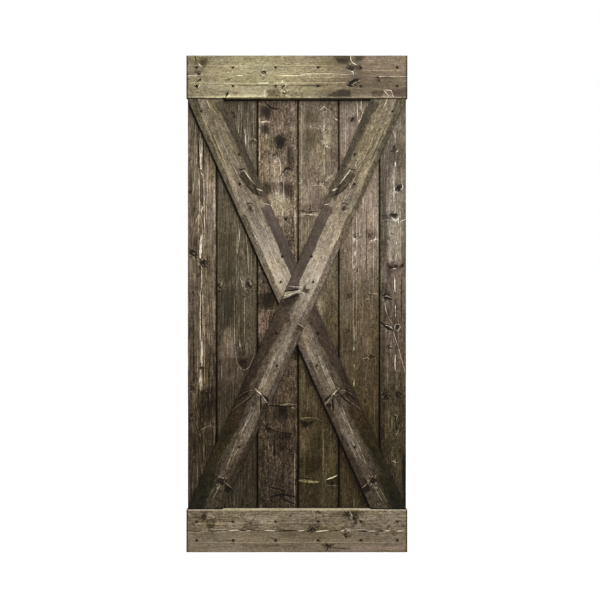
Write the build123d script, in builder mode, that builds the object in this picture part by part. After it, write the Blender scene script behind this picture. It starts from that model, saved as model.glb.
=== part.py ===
"""Barn door slab: tongue-and-groove planks held by two rails and an X brace, all screwed from the front.

Frame: millimetres, +Z up, front of the door towards -Y, left and right as seen from the front.
The origin is in the middle of the door's foot, on the plane where the rails and braces lie on the planks.
"""

from math import acos, atan2, cos, degrees, hypot, radians, sin, tan
import os

from build123d import *

# The slab
door_height = 2134.0
full_planks = 4
plank_face = 176.0  # width that one full plank covers
left_plank_face = 125.0  # the outer planks are ripped to make up the door's width
right_plank_face = 115.0
plank_thickness = 17.5

# Tongue, groove and V joint between planks
joint_gap = 0.6
v_joint = 3.0
tongue_length = 6.0
tongue_thickness = 5.5
groove_clearance = 0.3
tongue_setback = 9.5  # from the plank's face to the middle of its tongue

# The boards on the front
batten_thickness = 17.5
rail_width = 184.0
rail_overhang = 2.5
brace_width = 140.0
fit_gap = 0.5  # between the end of a brace and what it butts against
eased_edge = 1.5
sawn_edge = 0.6

# Flat-head wood screws, set in countersinks
screw_head_radius = 4.1
screw_head_sink = 0.8
screw_cone_angle = 82.0
screw_shank_radius = 2.1
screw_thread_radius = 1.9
screw_point_length = 5.0
screw_back_cover = 2.5  # wood left behind the point
screw_clearance = 0.1
drive_width = 1.0
drive_span = 4.4
drive_depth = 1.8

# Where the screws stand
rail_screw_margin = 52.0  # from a rail's long edges
rail_screw_end = 44.0  # from a rail's ends
rail_screw_pitch = 183.0
# The screws of the diagonal that comes down from the left, plank by plank: to the right of the plank's
# middle, then up from the diagonal's centre line. The other diagonal mirrors it.
diagonal_screws = (
    ((-1.0, -36.5),),
    ((10.5, 35.5), (13.0, -14.5)),
    ((20.0, 25.5), (13.0, -25.5)),
    ((-3.5, 30.0), (-7.5, -30.5)),
    ((-20.5, -24.0),),
    ((-8.5, 31.0),),
)
brace_screw_margin = 12.0  # least wood between a screw's middle and the brace's outline

# Worked out from the sizes above
door_width = left_plank_face + full_planks * plank_face + right_plank_face
plank_left = -door_width / 2
opening_bottom = rail_width
opening_top = door_height - rail_width
opening_middle = (opening_bottom + opening_top) / 2
opening_height = opening_top - opening_bottom
# A diagonal touches the opening's corners with its outer edges, so its lean depends on its own width.
opening_diagonal = hypot(door_width, opening_height)
lean = degrees(acos(brace_width / opening_diagonal) - atan2(opening_height, door_width))
cone_spread = tan(radians(screw_cone_angle / 2))
countersink_radius = screw_head_radius + screw_head_sink * cone_spread + screw_clearance / cos(
    radians(screw_cone_angle / 2)
)
shank_hole_radius = screw_shank_radius + screw_clearance
pilot_radius = screw_thread_radius + screw_clearance
screw_length = batten_thickness + plank_thickness - screw_head_sink - screw_back_cover
pilot_depth = plank_thickness - screw_back_cover + screw_clearance

batten_front = Plane(origin=(0, -batten_thickness, 0), x_dir=(1, 0, 0), z_dir=(0, -1, 0))
plank_front = Plane(origin=(0, 0, 0), x_dir=(1, 0, 0), z_dir=(0, -1, 0))


def plank_edges():
    """Left edge of each plank's face, and the last one's right edge."""
    edges = [plank_left, plank_left + left_plank_face]
    for _ in range(full_planks):
        edges.append(edges[-1] + plank_face)
    edges.append(edges[-1] + right_plank_face)
    return edges


def plank_middles():
    edges = plank_edges()
    return [(left + right) / 2 for left, right in zip(edges, edges[1:])]


def rail_screw_points(rail_bottom):
    """One column of two screws for each plank, in x and z."""
    inner = [(number - (full_planks - 1) / 2) * rail_screw_pitch for number in range(full_planks)]
    end_column = door_width / 2 + rail_overhang - rail_screw_end
    rows = (rail_bottom + rail_screw_margin, rail_bottom + rail_width - rail_screw_margin)
    return [(x, z) for x in (-end_column, *inner, end_column) for z in rows]


def diagonal_screw_points(side):
    """Screws of the diagonal whose top end is on that side: -1 for the left, 1 for the right."""
    points = []
    for middle, screws in zip(plank_middles(), diagonal_screws):
        for across, above in screws:
            x = middle + across
            on_centre_line = opening_middle - x / tan(radians(lean))
            points.append((-side * x, on_centre_line + above / sin(radians(lean))))
    margin = brace_screw_margin
    return [(x, z) for x, z in points if opening_bottom + margin < z < opening_top - margin]


def diagonal_outline(side):
    """Sketch of a whole diagonal between the rails, on the battens' front."""
    foot = brace_width / cos(radians(lean))
    half_width = door_width / 2
    low, high = opening_bottom + fit_gap, opening_top - fit_gap
    corners = [
        (-half_width, low),
        (-half_width + foot, low),
        (half_width, high),
        (half_width - foot, high),
    ]
    with BuildSketch(batten_front) as outline:
        with BuildLine():
            Polyline(*[(side * x, z) for x, z in corners], close=True)
        make_face()
    return outline.sketch


def beside_long_brace(above):
    """Half plane above or below the long brace, one fit gap away from it."""
    reach = door_height + door_width
    offset_from_middle = brace_width / 2 + fit_gap
    turn = -lean if above else 180 - lean
    with BuildSketch(batten_front) as half_plane:
        with Locations(Location((0, opening_middle), (0, 0, turn))):
            with Locations((-offset_from_middle, 0)):
                Rectangle(reach, 2 * reach, align=(Align.MAX, Align.CENTER))
    return half_plane.sketch


def in_half(points, above):
    """The screws that stand in the upper or the lower half brace."""
    return [(x, z) for x, z in points if (z > opening_middle) == above]


def make_plank(left, right, is_first, is_last, screws):
    """One plank, with a groove on its left and a tongue on its right where it has a neighbour."""
    half_gap = joint_gap / 2
    face_left = left if is_first else left + half_gap
    face_right = right if is_last else right - half_gap
    tongue = (tongue_length, tongue_thickness)
    groove = (tongue_length + groove_clearance + half_gap, tongue_thickness + 2 * groove_clearance)
    with BuildPart() as plank:
        with BuildSketch(Plane.XY):
            with Locations((face_left, 0)):
                Rectangle(face_right - face_left, plank_thickness, align=Align.MIN)
            if not is_last:
                with Locations((face_right, tongue_setback)):
                    Rectangle(*tongue, align=(Align.MIN, Align.CENTER))
            if not is_first:
                with Locations((face_left, tongue_setback)):
                    Rectangle(*groove, align=(Align.MIN, Align.CENTER), mode=Mode.SUBTRACT)
            front_corners = vertices().group_by(Axis.Y)[0].sort_by(Axis.X)
            chamfer(front_corners[0], eased_edge if is_first else v_joint)
            front_corners = vertices().group_by(Axis.Y)[0].sort_by(Axis.X)
            chamfer(front_corners[-1], eased_edge if is_last else v_joint)
        extrude(amount=door_height)
        with Locations(plank_front):
            with Locations(*screws):
                Hole(pilot_radius, pilot_depth)
    return plank


def make_batten(outline, screws):
    """A board on the front: its outline, eased along the front and countersunk for its screws."""
    with BuildPart() as batten:
        extrude(outline, amount=batten_thickness, dir=(0, 1, 0))
        across_the_grain = faces().sort_by(Axis.Y)[0].edges().sort_by(SortBy.LENGTH)[:-2]
        chamfer(across_the_grain, sawn_edge)
        along_the_grain = faces().sort_by(Axis.Y)[0].edges().sort_by(SortBy.LENGTH)[-2:]
        fillet(along_the_grain, eased_edge)
        with Locations(batten_front):
            with Locations(*screws):
                CounterSinkHole(shank_hole_radius, countersink_radius, batten_thickness, screw_cone_angle)
    return batten


def make_rail(rail_bottom):
    length = door_width + 2 * rail_overhang
    with BuildSketch(batten_front) as outline:
        with Locations((0, rail_bottom)):
            Rectangle(length, rail_width, align=(Align.CENTER, Align.MIN))
    return make_batten(outline.sketch, rail_screw_points(rail_bottom))


def make_half_brace(above):
    with BuildSketch(batten_front) as outline:
        add(diagonal_outline(-1))
        add(beside_long_brace(above), mode=Mode.INTERSECT)
    return make_batten(outline.sketch, in_half(diagonal_screw_points(-1), above))


def screw_pattern():
    """A flat-head screw standing point down, with the middle of its head's top at the origin."""
    cone_height = (screw_head_radius - screw_shank_radius) / cone_spread
    shank_end = batten_thickness - screw_head_sink
    with BuildPart() as screw:
        with BuildSketch(Plane.XZ):
            with BuildLine():
                Polyline(
                    (0, 0),
                    (screw_head_radius, 0),
                    (screw_shank_radius, -cone_height),
                    (screw_shank_radius, -shank_end),
                    (screw_thread_radius, -shank_end),
                    (screw_thread_radius, -screw_length + screw_point_length),
                    (0, -screw_length),
                    close=True,
                )
            make_face()
        revolve(axis=Axis.Z)
        with BuildSketch(Plane.XY):
            Rectangle(drive_span, drive_width)
            Rectangle(drive_width, drive_span)
        extrude(amount=-drive_depth, mode=Mode.SUBTRACT)
    return screw.part


def make_screws(points):
    """Separate screws, each in its countersink."""
    seat = batten_front.offset(-screw_head_sink)
    pattern = screw_pattern()
    return Compound([pattern.moved(seat.location * Location((x, z, 0))) for x, z in points])


def write(shape, name):
    shape.label = name
    export_step(shape, f"parts/{name}.step")


def main():
    os.makedirs("parts", exist_ok=True)

    long_brace_points = diagonal_screw_points(1)
    half_brace_points = diagonal_screw_points(-1)
    screws = {
        "top_rail_screws": rail_screw_points(opening_top),
        "bottom_rail_screws": rail_screw_points(0),
        "long_brace_screws": long_brace_points,
        "upper_brace_screws": in_half(half_brace_points, above=True),
        "lower_brace_screws": in_half(half_brace_points, above=False),
    }

    edges = plank_edges()
    plank_count = len(edges) - 1
    for number, (left, right) in enumerate(zip(edges, edges[1:]), start=1):
        own_screws = [(x, z) for points in screws.values() for x, z in points if left < x < right]
        plank = make_plank(left, right, number == 1, number == plank_count, own_screws)
        write(plank.part, f"plank_{number}")

    write(make_rail(opening_top).part, "top_rail")
    write(make_rail(0).part, "bottom_rail")
    write(make_batten(diagonal_outline(1), long_brace_points).part, "long_brace")
    write(make_half_brace(above=True).part, "upper_brace")
    write(make_half_brace(above=False).part, "lower_brace")
    for name, points in screws.items():
        write(make_screws(points), name)


main()
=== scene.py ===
"""Barn door slab of stained boards. Every board is a detailed mesh over its CAD solid, with grain, knots and wear.

Metres, in the CAD frame: +Z up, the front towards -Y. The planks' faces are at y 0, the battens' at y -0.0175.
A board has its own directions: u along the grain, v across it, and w out of the front.
The tables of knots, streaks, blotches and patches are in millimetres on the door's front, read off one by one.
"""
from math import acos, atan2, cos, hypot, pi, radians, sin, tan

import bpy
import numpy as np
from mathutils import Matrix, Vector


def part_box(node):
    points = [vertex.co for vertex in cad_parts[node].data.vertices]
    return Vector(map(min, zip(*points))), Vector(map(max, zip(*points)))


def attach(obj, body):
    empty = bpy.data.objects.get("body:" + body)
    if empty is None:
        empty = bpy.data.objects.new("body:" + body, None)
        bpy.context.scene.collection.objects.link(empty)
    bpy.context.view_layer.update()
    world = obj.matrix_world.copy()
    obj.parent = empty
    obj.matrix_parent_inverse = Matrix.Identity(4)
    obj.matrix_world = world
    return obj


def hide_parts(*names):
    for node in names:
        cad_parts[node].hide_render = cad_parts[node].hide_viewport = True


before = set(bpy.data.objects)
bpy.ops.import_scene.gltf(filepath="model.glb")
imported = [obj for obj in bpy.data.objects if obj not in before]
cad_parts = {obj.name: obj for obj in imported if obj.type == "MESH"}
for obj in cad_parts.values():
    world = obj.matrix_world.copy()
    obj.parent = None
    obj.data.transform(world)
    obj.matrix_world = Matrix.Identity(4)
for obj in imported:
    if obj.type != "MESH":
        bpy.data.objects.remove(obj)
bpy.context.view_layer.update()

MM = 0.001

# Sizes that the solids have
THICKNESS = 17.5 * MM
BRACE_WIDTH = 140.0 * MM
FIT_GAP = 0.5 * MM
V_JOINT = 3.0 * MM
TONGUE = 6.0 * MM
TONGUE_HALF = 2.75 * MM
TONGUE_SETBACK = 9.5 * MM
GROOVE_EXTRA = 0.6 * MM
GROOVE_CLEARANCE = 0.3 * MM
HOLE_RADIUS = 4.93 * MM

# The mesh of a board: its steps across and along, and its arrises
COLUMN = 2.8 * MM
STATION = 4.0 * MM
BACK_COLUMN = 9.0 * MM
EASED = 1.6 * MM
SAWN = 0.7 * MM

# The three woods, and how strong the planer's marks on each are
WOODS = (("plank_wood", 0.0), ("rail_wood", 0.0), ("brace_wood", 0.03))
GROWTH_RING = 5.2 * MM
NOISE_GAIN = 2.6
FIRST_SEED = 11

# The photo's camera, and the light: each lamp's place, power and size
LENS_LENGTH, SENSOR_WIDTH = 33.43, 36.0
CAMERA_PLACE = (0.0133, -2.4091, 1.0838)
DOOR_MIDDLE = Vector((0.0, 0.0, 1.067))
LAMPS = {"key": ((0.87, -3.0, 2.99), 122.0, 0.6), "back_fill": ((-1.2, 3.2, 2.6), 60.0, 2.0)}
WORLD_LIGHT = 0.26
WHITE = (1.0, 1.0, 1.0, 1.0)


def smooth(x, low, high):
    """0 below low, 1 above high and a soft step between; also falls where low is more than high."""
    t = np.clip((x - low) / (high - low), 0.0, 1.0)
    return t * t * (3.0 - 2.0 * t)


def between(first, second, share):
    return first * (1 - share) + second * share


def cloud(rng, a, b, size_a, size_b):
    """Soft noise from -1 to 1 at the points (a, b), with blotches of about that size."""
    ia, ib = a / size_a, b / size_b
    ia, ib = ia - ia.min(), ib - ib.min()
    lattice = rng.uniform(-1.0, 1.0, (int(ia.max()) + 3, int(ib.max()) + 3))
    i, j = ia.astype(int), ib.astype(int)
    f, g = ia - i, ib - j
    f, g = f * f * (3 - 2 * f), g * g * (3 - 2 * g)
    low = between(lattice[i, j], lattice[i + 1, j], f)
    high = between(lattice[i, j + 1], lattice[i + 1, j + 1], f)
    return between(low, high, g)


# Knots: x, z, radius, darkness
KNOTS = {
    "top_rail": (
        (-422, 2058, 8, 0.8), (-417, 2027, 7, 0.8), (-428, 2002, 5, 1), (-286, 2064, 5, 0.9), (-290, 2034, 5, 0.9),
        (-142, 2062, 7, 1), (-144, 2034, 5, 0.9), (18, 1967, 8, 0.5), (323, 2066, 6, 0.4), (351, 2032, 8, 1),
        (-301, 1966, 6, 0.5), (233, 2079, 12, 0.9), (243, 2019, 12, 0.9), (255, 2026, 7, 0.8), (-56, 2000, 8, 0.5),
        (-54, 1976, 8, 0.6), (223, 2010, 8, 0.7), (-58, 1960, 6, 0.6),
    ),
    "bottom_rail": (
        (-400, 152, 8, 0.6), (-372, 112, 12, 0.4), (-232, 168, 6, 0.9), (-25, 163, 6, 0.6), (91, 168, 11, 0.7),
        (216, 163, 11, 0.8), (250, 150, 11, 0.9), (252, 132, 8, 0.7), (58, 104, 9, 0.7), (74, 96, 8, 0.6),
        (216, 77, 13, 0.7), (134, 26, 12, 0.6), (392, 107, 7, 0.7), (420, 77, 6, 0.7), (345, 82, 6, 0.6),
        (457, 116, 5, 0.7), (70, 52, 4, 0.4),
    ),
    "plank_1": (
        (-416, 1640, 8, 0.8), (-408, 1464, 7, 0.5), (-447, 1287, 13, 0.9), (-403, 1243, 13, 0.9),
        (-412, 1224, 7, 0.7), (-386, 673, 8, 0.8), (-453, 703, 11, 0.7), (-452, 586, 9, 0.6), (-420, 521, 7, 0.8),
        (-364, 545, 7, 0.8), (-442, 391, 8, 0.7), (-464, 1692, 7, 0.7), (-464, 1549, 7, 0.7), (-446, 1118, 7, 0.4),
        (-412, 1110, 5, 0.4),
    ),
    "plank_2": (
        (-277, 1896, 7, 0.7), (-273, 1878, 7, 0.6), (-195, 1765, 9, 0.7), (-331, 1148, 13, 0.7),
        (-212, 1145, 14, 0.8), (-243, 1260, 8, 0.4), (-231, 812, 13, 0.5), (-331, 812, 9, 0.4), (-322, 1366, 9, 0.3),
        (-300, 1485, 7, 0.3),
    ),
    "plank_3": (
        (-106, 1912, 7, 0.4), (-73, 1770, 16, 0.25), (-91, 1713, 10, 0.7), (-50, 1644, 10, 0.3), (-50, 1434, 6, 1),
        (-34, 1328, 12, 0.5), (-8, 866, 13, 0.8), (-56, 612, 14, 0.5), (-125, 529, 12, 0.7), (-97, 420, 9, 0.6),
        (-125, 387, 6, 0.9), (-66, 250, 10, 0.35), (-20, 1352, 8, 0.5),
    ),
    "plank_4": (
        (120, 1909, 8, 0.7), (126, 1813, 10, 0.6), (120, 1748, 9, 0.7), (120, 1588, 10, 0.5), (52, 1466, 12, 0.4),
        (36, 547, 11, 0.6), (152, 289, 9, 0.6), (48, 306, 11, 0.7), (91, 1590, 8, 0.4),
    ),
    "plank_5": (
        (238, 1866, 9, 0.9), (256, 1888, 5, 0.6), (258, 1362, 9, 0.9), (323, 1362, 12, 0.4), (260, 1210, 6, 0.7),
        (229, 1102, 9, 0.6), (317, 1102, 8, 0.6), (217, 950, 8, 0.6), (321, 838, 11, 0.7), (295, 642, 7, 0.5),
        (250, 1288, 5, 0.5),
    ),
    "plank_6": (
        (423, 1735, 11, 0.9), (434, 1562, 8, 1), (448, 1577, 7, 1), (421, 1447, 9, 0.8), (408, 1367, 6, 0.6),
        (395, 1349, 6, 0.6), (399, 1228, 8, 0.8), (430, 1226, 9, 0.9), (456, 1228, 7, 0.7), (384, 1096, 11, 0.8),
        (395, 968, 10, 0.7), (434, 968, 10, 0.9), (401, 881, 7, 0.9), (438, 675, 12, 0.8), (384, 668, 13, 0.7),
        (430, 571, 8, 0.6), (427, 525, 8, 0.5), (425, 382, 8, 0.7),
    ),
}

# Streaks: half width, lightness (dark below 0), then x and z of each point of its line
STREAKS = {
    "top_rail": (
        (2.5, 0.22, -473, 2046, -417, 2047), (2.2, 0.34, -262, 2047, -236, 2046), (2.2, 0.42, -73, 2047, 13, 2046),
        (2.2, 0.22, 13, 2053, 120, 2055, 229, 2052), (1.8, 0.26, 345, 2043, 474, 2042),
        (1.6, -0.14, 330, 2038, 474, 2038), (2, 0.18, -460, 2016, -168, 2014), (2.6, 0.32, -168, 2014, -116, 2015),
        (2, 0.18, -116, 2015, 207, 2016), (1.8, 0.14, 20, 2040, 230, 2041), (2.5, 0.16, -474, 1955, -300, 1954),
        (2.5, 0.14, -40, 1954, 474, 1955), (2, 0.4, -422, 2100, -407, 2082),
        (2.2, 0.5, 231, 2135, 232, 2112, 240, 2100, 256, 2094), (2, 0.45, 228, 2068, 240, 2062, 243, 2050),
        (2.2, 0.55, 236, 2008, 252, 2018, 266, 2024), (2, 0.42, 371, 1986, 405, 1984, 414, 1956),
        (2, 0.35, 371, 1984, 396, 1960), (1.8, 0.14, -470, 2090, -200, 2088), (1.6, -0.15, -250, 2004, 130, 2003),
        (2.4, -0.36, -307, 1954, -295, 1978), (2.6, 0.34, -295, 1956, -292, 1963),
        (1.6, 0.34, -53, 2012, -47, 2006, -51, 1993), (1.6, -0.4, -62, 1995, -56, 2004),
        (1.6, 0.34, -62, 1984, -51, 1976, -58, 1963), (1.6, -0.36, -60, 1967, -51, 1972),
        (1.8, 0.34, -68, 2017, -60, 2027), (1.8, 0.34, -56, 1954, -47, 1961),
        (1.8, -0.4, -155, 2058, -142, 2066, -131, 2053), (1.6, 0.34, -150, 2051, -140, 2046),
        (1.6, -0.4, -437, 2131, -434, 2109), (2.2, -0.5, -441, 2004, -426, 1993), (1.6, 0.44, -424, 1997, -413, 2006),
        (2, -0.4, -428, 2055, -413, 2053), (1.8, -0.36, -430, 2019, -413, 2032), (1.4, 0.2, -322, 1958, 13, 1957),
        (1.4, 0.16, -202, 2092, 142, 2090), (1.4, 0.16, 186, 2071, 444, 2069), (2, -0.44, 229, 2021, 259, 2032),
        (2.2, -0.44, 220, 2004, 237, 2000),
    ),
    "bottom_rail": (
        (3, 0.5, -292, 94, -249, 95), (2.6, 0.42, -215, 93, -198, 95), (3, 0.55, -137, 95, -90, 94),
        (2.6, 0.42, 7, 91, 31, 95), (3.2, 0.5, 82, 90, 134, 94), (2.8, 0.5, 190, 91, 203, 96),
        (1.8, 0.3, 250, 99, 302, 97), (2.6, 0.5, 306, 92, 340, 91), (2.8, 0.5, 379, 92, 396, 94),
        (2.6, 0.46, 431, 91, 452, 93), (1.6, 0.3, -434, 86, -404, 89, -387, 95), (1.6, 0.26, -370, 96, -305, 99),
        (1.6, 0.26, -340, 87, -301, 89), (1.4, -0.24, -473, 95, -422, 90), (1.6, -0.26, -383, 93, -297, 94),
        (2, -0.3, -245, 95, -219, 95), (1.6, -0.28, -193, 95, -142, 93), (1.8, -0.34, -86, 92, 0, 93),
        (2.2, -0.26, 138, 94, 186, 94), (1.4, -0.2, 35, 93, 78, 90), (1.6, -0.28, 263, 92, 302, 91),
        (1.6, -0.28, 345, 92, 375, 93), (1.4, -0.24, 401, 92, 427, 91), (1.3, -0.3, -297, 133, -279, 132),
        (1.3, -0.3, -305, 50, -262, 52), (1.3, -0.3, -116, 64, -94, 56), (1.4, -0.34, 201, 82, 216, 60),
        (1.6, 0.3, 216, 172, 233, 146), (1.4, -0.3, 52, 90, 69, 107), (1.4, -0.3, 61, 82, 78, 95),
        (3, 0.16, -380, 160, -352, 152), (2.2, 0.4, 228, 172, 240, 152), (1.8, 0.12, -460, 42, 440, 44),
        (1.8, 0.12, -460, 126, 180, 128), (1.6, 0.35, 66, 54, 76, 53), (1.6, -0.2, 150, 20, 220, 16),
        (1.6, -0.45, 108, 33, 134, 25, 160, 35), (1.6, -0.45, 122, 44, 134, 25, 126, 6),
    ),
    "plank_1": (
        (3, 0.2, -418, 1809, -417, 1770), (2, 0.38, -420, 1772, -420, 1706), (2, 0.32, -411, 1772, -411, 1706),
        (4.2, 0.42, -416, 1716, -414, 1648), (2, 0.3, -403, 1630, -402, 1497, -398, 1400),
        (2, 0.26, -422, 1630, -421, 1497, -424, 1380), (3.4, 0.6, -410, 1484, -412, 1460),
        (5.4, 0.62, -412, 1362, -416, 1310, -418, 1262), (1.8, -0.3, -464, 1302, -445, 1290, -425, 1267),
        (2.4, 0.5, -414, 1228, -410, 1218), (3, 0.4, -412, 1213, -413, 1128), (5, 0.14, -356, 1562, -357, 1388),
        (5, 0.14, -357, 1323, -356, 1258), (5, 0.12, -357, 1085, -357, 955), (2.2, 0.36, -418, 1120, -418, 905),
        (2.2, 0.34, -406, 1110, -407, 905), (5.5, 0.44, -411, 911, -412, 798), (2.4, -0.5, -420, 790, -406, 791),
        (6, 0.5, -416, 782, -417, 694), (1.6, 0.26, -429, 920, -430, 694), (1.6, 0.24, -399, 1000, -399, 694),
        (1.6, -0.3, -412, 1090, -412, 915), (1.6, 0.3, -433, 512, -400, 530, -368, 545),
        (1.8, 0.22, -403, 521, -402, 369), (4.4, 0.1, -357, 573, -357, 456), (1.8, 0.2, -440, 1850, -438, 1700),
        (1.8, 0.16, -384, 1800, -386, 1500), (1.8, 0.14, -440, 1250, -438, 1130), (1.8, 0.16, -384, 1060, -385, 880),
        (1.6, 0.4, -380, 683, -374, 664), (1.6, 0.18, -430, 360, -428, 230), (1.6, -0.2, -380, 800, -382, 560),
        (1.6, -0.2, -445, 1000, -447, 720), (2.6, 0.5, -409, 1484, -412, 1458),
        (1.6, 0.34, -464, 1297, -446, 1284, -429, 1271), (1.6, -0.5, -468, 1293, -451, 1280, -433, 1267),
        (1.8, -0.5, -416, 1258, -403, 1241, -390, 1223), (1.6, 0.4, -420, 1644, -412, 1631, -407, 1614),
        (1.6, -0.3, -426, 1774, -427, 1657), (1.6, -0.3, -405, 1774, -404, 1648), (1.6, 0.3, -426, 1449, -427, 1302),
        (1.6, 0.3, -401, 1458, -400, 1319),
    ),
    "plank_2": (
        (2, 0.2, -253, 1943, -255, 1860, -252, 1778), (2, 0.2, -243, 1943, -240, 1850, -243, 1778),
        (2.6, 0.44, -224, 1825, -222, 1755), (2, 0.2, -210, 1943, -213, 1850, -209, 1735),
        (2, 0.18, -186, 1943, -188, 1800), (2.2, 0.32, -186, 1782, -172, 1770),
        (1.8, 0.16, -260, 1432, -261, 1250, -259, 1085), (2, 0.4, -246, 1393, -252, 1330, -260, 1270),
        (1.8, 0.3, -220, 1367, -212, 1290, -210, 1206), (1.6, 0.16, -196, 1380, -198, 1180),
        (1.6, 0.3, -342, 1156, -330, 1162, -318, 1152), (1.6, 0.32, -240, 1165, -234, 1140, -216, 1130),
        (1.6, 0.2, -196, 1150, -184, 1158), (1.8, 0.24, -271, 1106, -270, 890), (1.8, 0.22, -227, 1106, -227, 890),
        (1.8, 0.4, -248, 902, -246, 880), (1.6, 0.2, -255, 859, -247, 907, -238, 859),
        (1.6, 0.28, -325, 812, -325, 746), (1.6, 0.1, -238, 651, -239, 218), (1.6, 0.08, -262, 700, -264, 260),
        (1.6, 0.08, -206, 700, -207, 260), (1.6, 0.12, -300, 1380, -302, 1190),
        (1.8, 0.22, -264, 859, -260, 816, -242, 785, -221, 781, -203, 798, -186, 842, -182, 890),
        (1.6, 0.3, -340, 1167, -325, 1158, -329, 1143, -340, 1141), (1.6, 0.3, -247, 1189, -243, 1171, -225, 1154),
        (1.6, -0.36, -217, 1154, -204, 1141, -186, 1150),
    ),
    "plank_3": (
        (1.4, 0.22, -163, 1865, -163, 1615), (4.6, 0.3, -164, 1852, -140, 1855, -112, 1853),
        (2, 0.3, -56, 1614, -57, 1560, -55, 1497), (1.8, 0.1, -160, 1932, -160, 1700),
        (2, -0.6, -56, 1438, -50, 1433, -43, 1438), (1.8, 0.24, -160, 1042, -128, 1036, -100, 1040),
        (2, -0.35, -125, 629, -60, 622, -4, 625), (1.8, 0.32, -72, 628, -40, 636, 0, 630),
        (2, -0.4, -147, 538, -126, 526, -104, 521), (1.6, 0.2, -106, 456, -106, 413),
        (2.2, -0.7, -117, 274, -78, 265, -56, 256), (2.4, -0.7, -117, 230, -91, 239, -60, 243, -4, 230),
        (1.8, 0.2, -110, 285, -20, 214), (2.6, 0.3, -9, 434, -10, 196), (1.6, 0.14, -30, 1560, -31, 1450),
        (1.8, 0.16, -128, 1500, -129, 1310), (1.6, 0.14, -146, 860, -147, 660), (1.6, -0.2, -104, 870, -103, 640),
        (2.6, 0.2, -9, 1560, -9, 1330), (2, 0.22, -92, 1760, -85, 1736, -66, 1730),
        (2.4, -0.6, -138, 1937, -112, 1916, -95, 1909, -78, 1912), (1.6, 0.24, -91, 634, -52, 629, -4, 612),
        (1.6, -0.3, -147, 543, -125, 530, -95, 517, -56, 508, -13, 504), (2.2, -0.5, -97, 478, -96, 413),
        (1.3, 0.34, -78, 1700, -69, 1666, -73, 1635, -65, 1605),
        (2.6, -0.65, -60, 1636, -50, 1648, -38, 1655, -25, 1648), (2.2, -0.7, -82, 243, -43, 213, -8, 200),
    ),
    "plank_4": (
        (2, 0.12, 20, 1943, 21, 1600, 20, 1302), (2, 0.5, 166, 1868, 172, 1862),
        (1.8, 0.2, 96, 1905, 118, 1922, 148, 1894), (1.8, 0.16, 92, 1776, 118, 1768, 124, 1750, 146, 1738),
        (1.8, 0.18, 84, 1848, 106, 1832, 118, 1812), (1.8, 0.24, 117, 1885, 118, 1735, 117, 1627),
        (1.8, 0.24, 57, 1579, 109, 1579, 135, 1544), (2, 0.24, 109, 1585, 140, 1612, 160, 1622),
        (1.8, -0.3, 13, 1470, 52, 1462, 91, 1468), (1.8, 0.28, 13, 1455, 91, 1451), (2, 0.26, 13, 573, 78, 575),
        (3.6, 0.12, 113, 530, 114, 326), (7, 0.34, 6, 302, 30, 303, 62, 298, 92, 297),
        (3.6, 0.75, 131, 308, 152, 315, 172, 325), (1.8, 0.3, 122, 284, 174, 282), (1.8, 0.16, 160, 1700, 161, 1480),
        (1.6, 0.12, 146, 560, 147, 380), (1.8, 0.14, 40, 1440, 39, 1310),
        (1.6, 0.16, 39, 1839, 91, 1826, 117, 1809, 169, 1830), (1.6, 0.16, 83, 1735, 109, 1748, 130, 1752, 169, 1722),
        (1.6, 0.18, 65, 1579, 109, 1588, 135, 1544), (1.6, 0.18, 135, 1614, 161, 1631),
        (1.6, 0.2, 117, 1735, 120, 1614), (1.6, 0.16, 100, 1900, 117, 1917, 135, 1900),
        (1.8, 0.16, 13, 564, 39, 577, 83, 573, 109, 560),
    ),
    "plank_5": (
        (1.8, 0.3, 258, 1955, 262, 1900, 262, 1868), (2, 0.36, 262, 1868, 268, 1852, 276, 1868, 286, 1900),
        (2, 0.3, 278, 1955, 277, 1909), (1.8, 0.24, 243, 1475, 242, 1250, 244, 911),
        (1.8, 0.2, 258, 1475, 259, 1250, 257, 911), (1.8, 0.36, 247, 1352, 250, 1340),
        (1.8, 0.36, 316, 1332, 336, 1342, 343, 1366), (2.2, 0.6, 252, 1292, 251, 1280),
        (2.2, 0.5, 247, 1240, 247, 1224), (1.6, 0.3, 241, 958, 247, 966, 252, 950, 247, 905),
        (2.2, 0.55, 247, 884, 247, 868), (2.2, 0.5, 247, 808, 247, 796), (2.4, 0.55, 247, 740, 247, 712),
        (1.6, 0.36, 286, 830, 304, 836, 314, 828), (2.4, 0.3, 247, 222, 247, 196), (1.8, 0.14, 210, 1930, 209, 1700),
        (1.8, 0.14, 330, 1500, 331, 1120), (1.6, 0.12, 285, 1120, 286, 860), (1.6, 0.1, 220, 560, 221, 250),
        (1.6, -0.16, 300, 1500, 301, 1200), (1.8, 0.16, 350, 1480, 350, 1160), (1.8, 0.4, 317, 1341, 352, 1347),
        (2, -0.5, 247, 1874, 230, 1857), (1.6, 0.34, 321, 1111, 347, 1111), (1.6, 0.3, 295, 1089, 312, 1089),
        (1.4, 0.28, 243, 1453, 243, 1375), (1.4, 0.28, 258, 1453, 258, 1375), (1.4, 0.24, 243, 1193, 243, 998),
        (1.4, 0.24, 258, 1193, 258, 998),
    ),
    "plank_6": (
        (2.4, 0.24, 425, 1800, 424, 1760), (2, 0.4, 430, 1722, 438, 1732), (2.6, 0.55, 425, 1680, 427, 1664),
        (2, 0.3, 420, 1660, 419, 1500), (1.5, 0.3, 400, 1548, 416, 1540), (2, 0.4, 412, 1436, 424, 1432),
        (1.8, 0.14, 370, 1428, 395, 1432, 420, 1424, 450, 1428), (2.4, 0.5, 430, 1336, 430, 1328),
        (2.4, 0.5, 430, 1280, 430, 1270), (2.8, 0.54, 423, 1182, 424, 1119),
        (1.8, 0.3, 375, 1085, 388, 1030, 408, 985), (2.6, 0.5, 425, 1063, 426, 1011),
        (1.9, 0.32, 412, 962, 436, 885, 452, 830, 466, 779), (2.8, 0.5, 425, 846, 425, 781),
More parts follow.
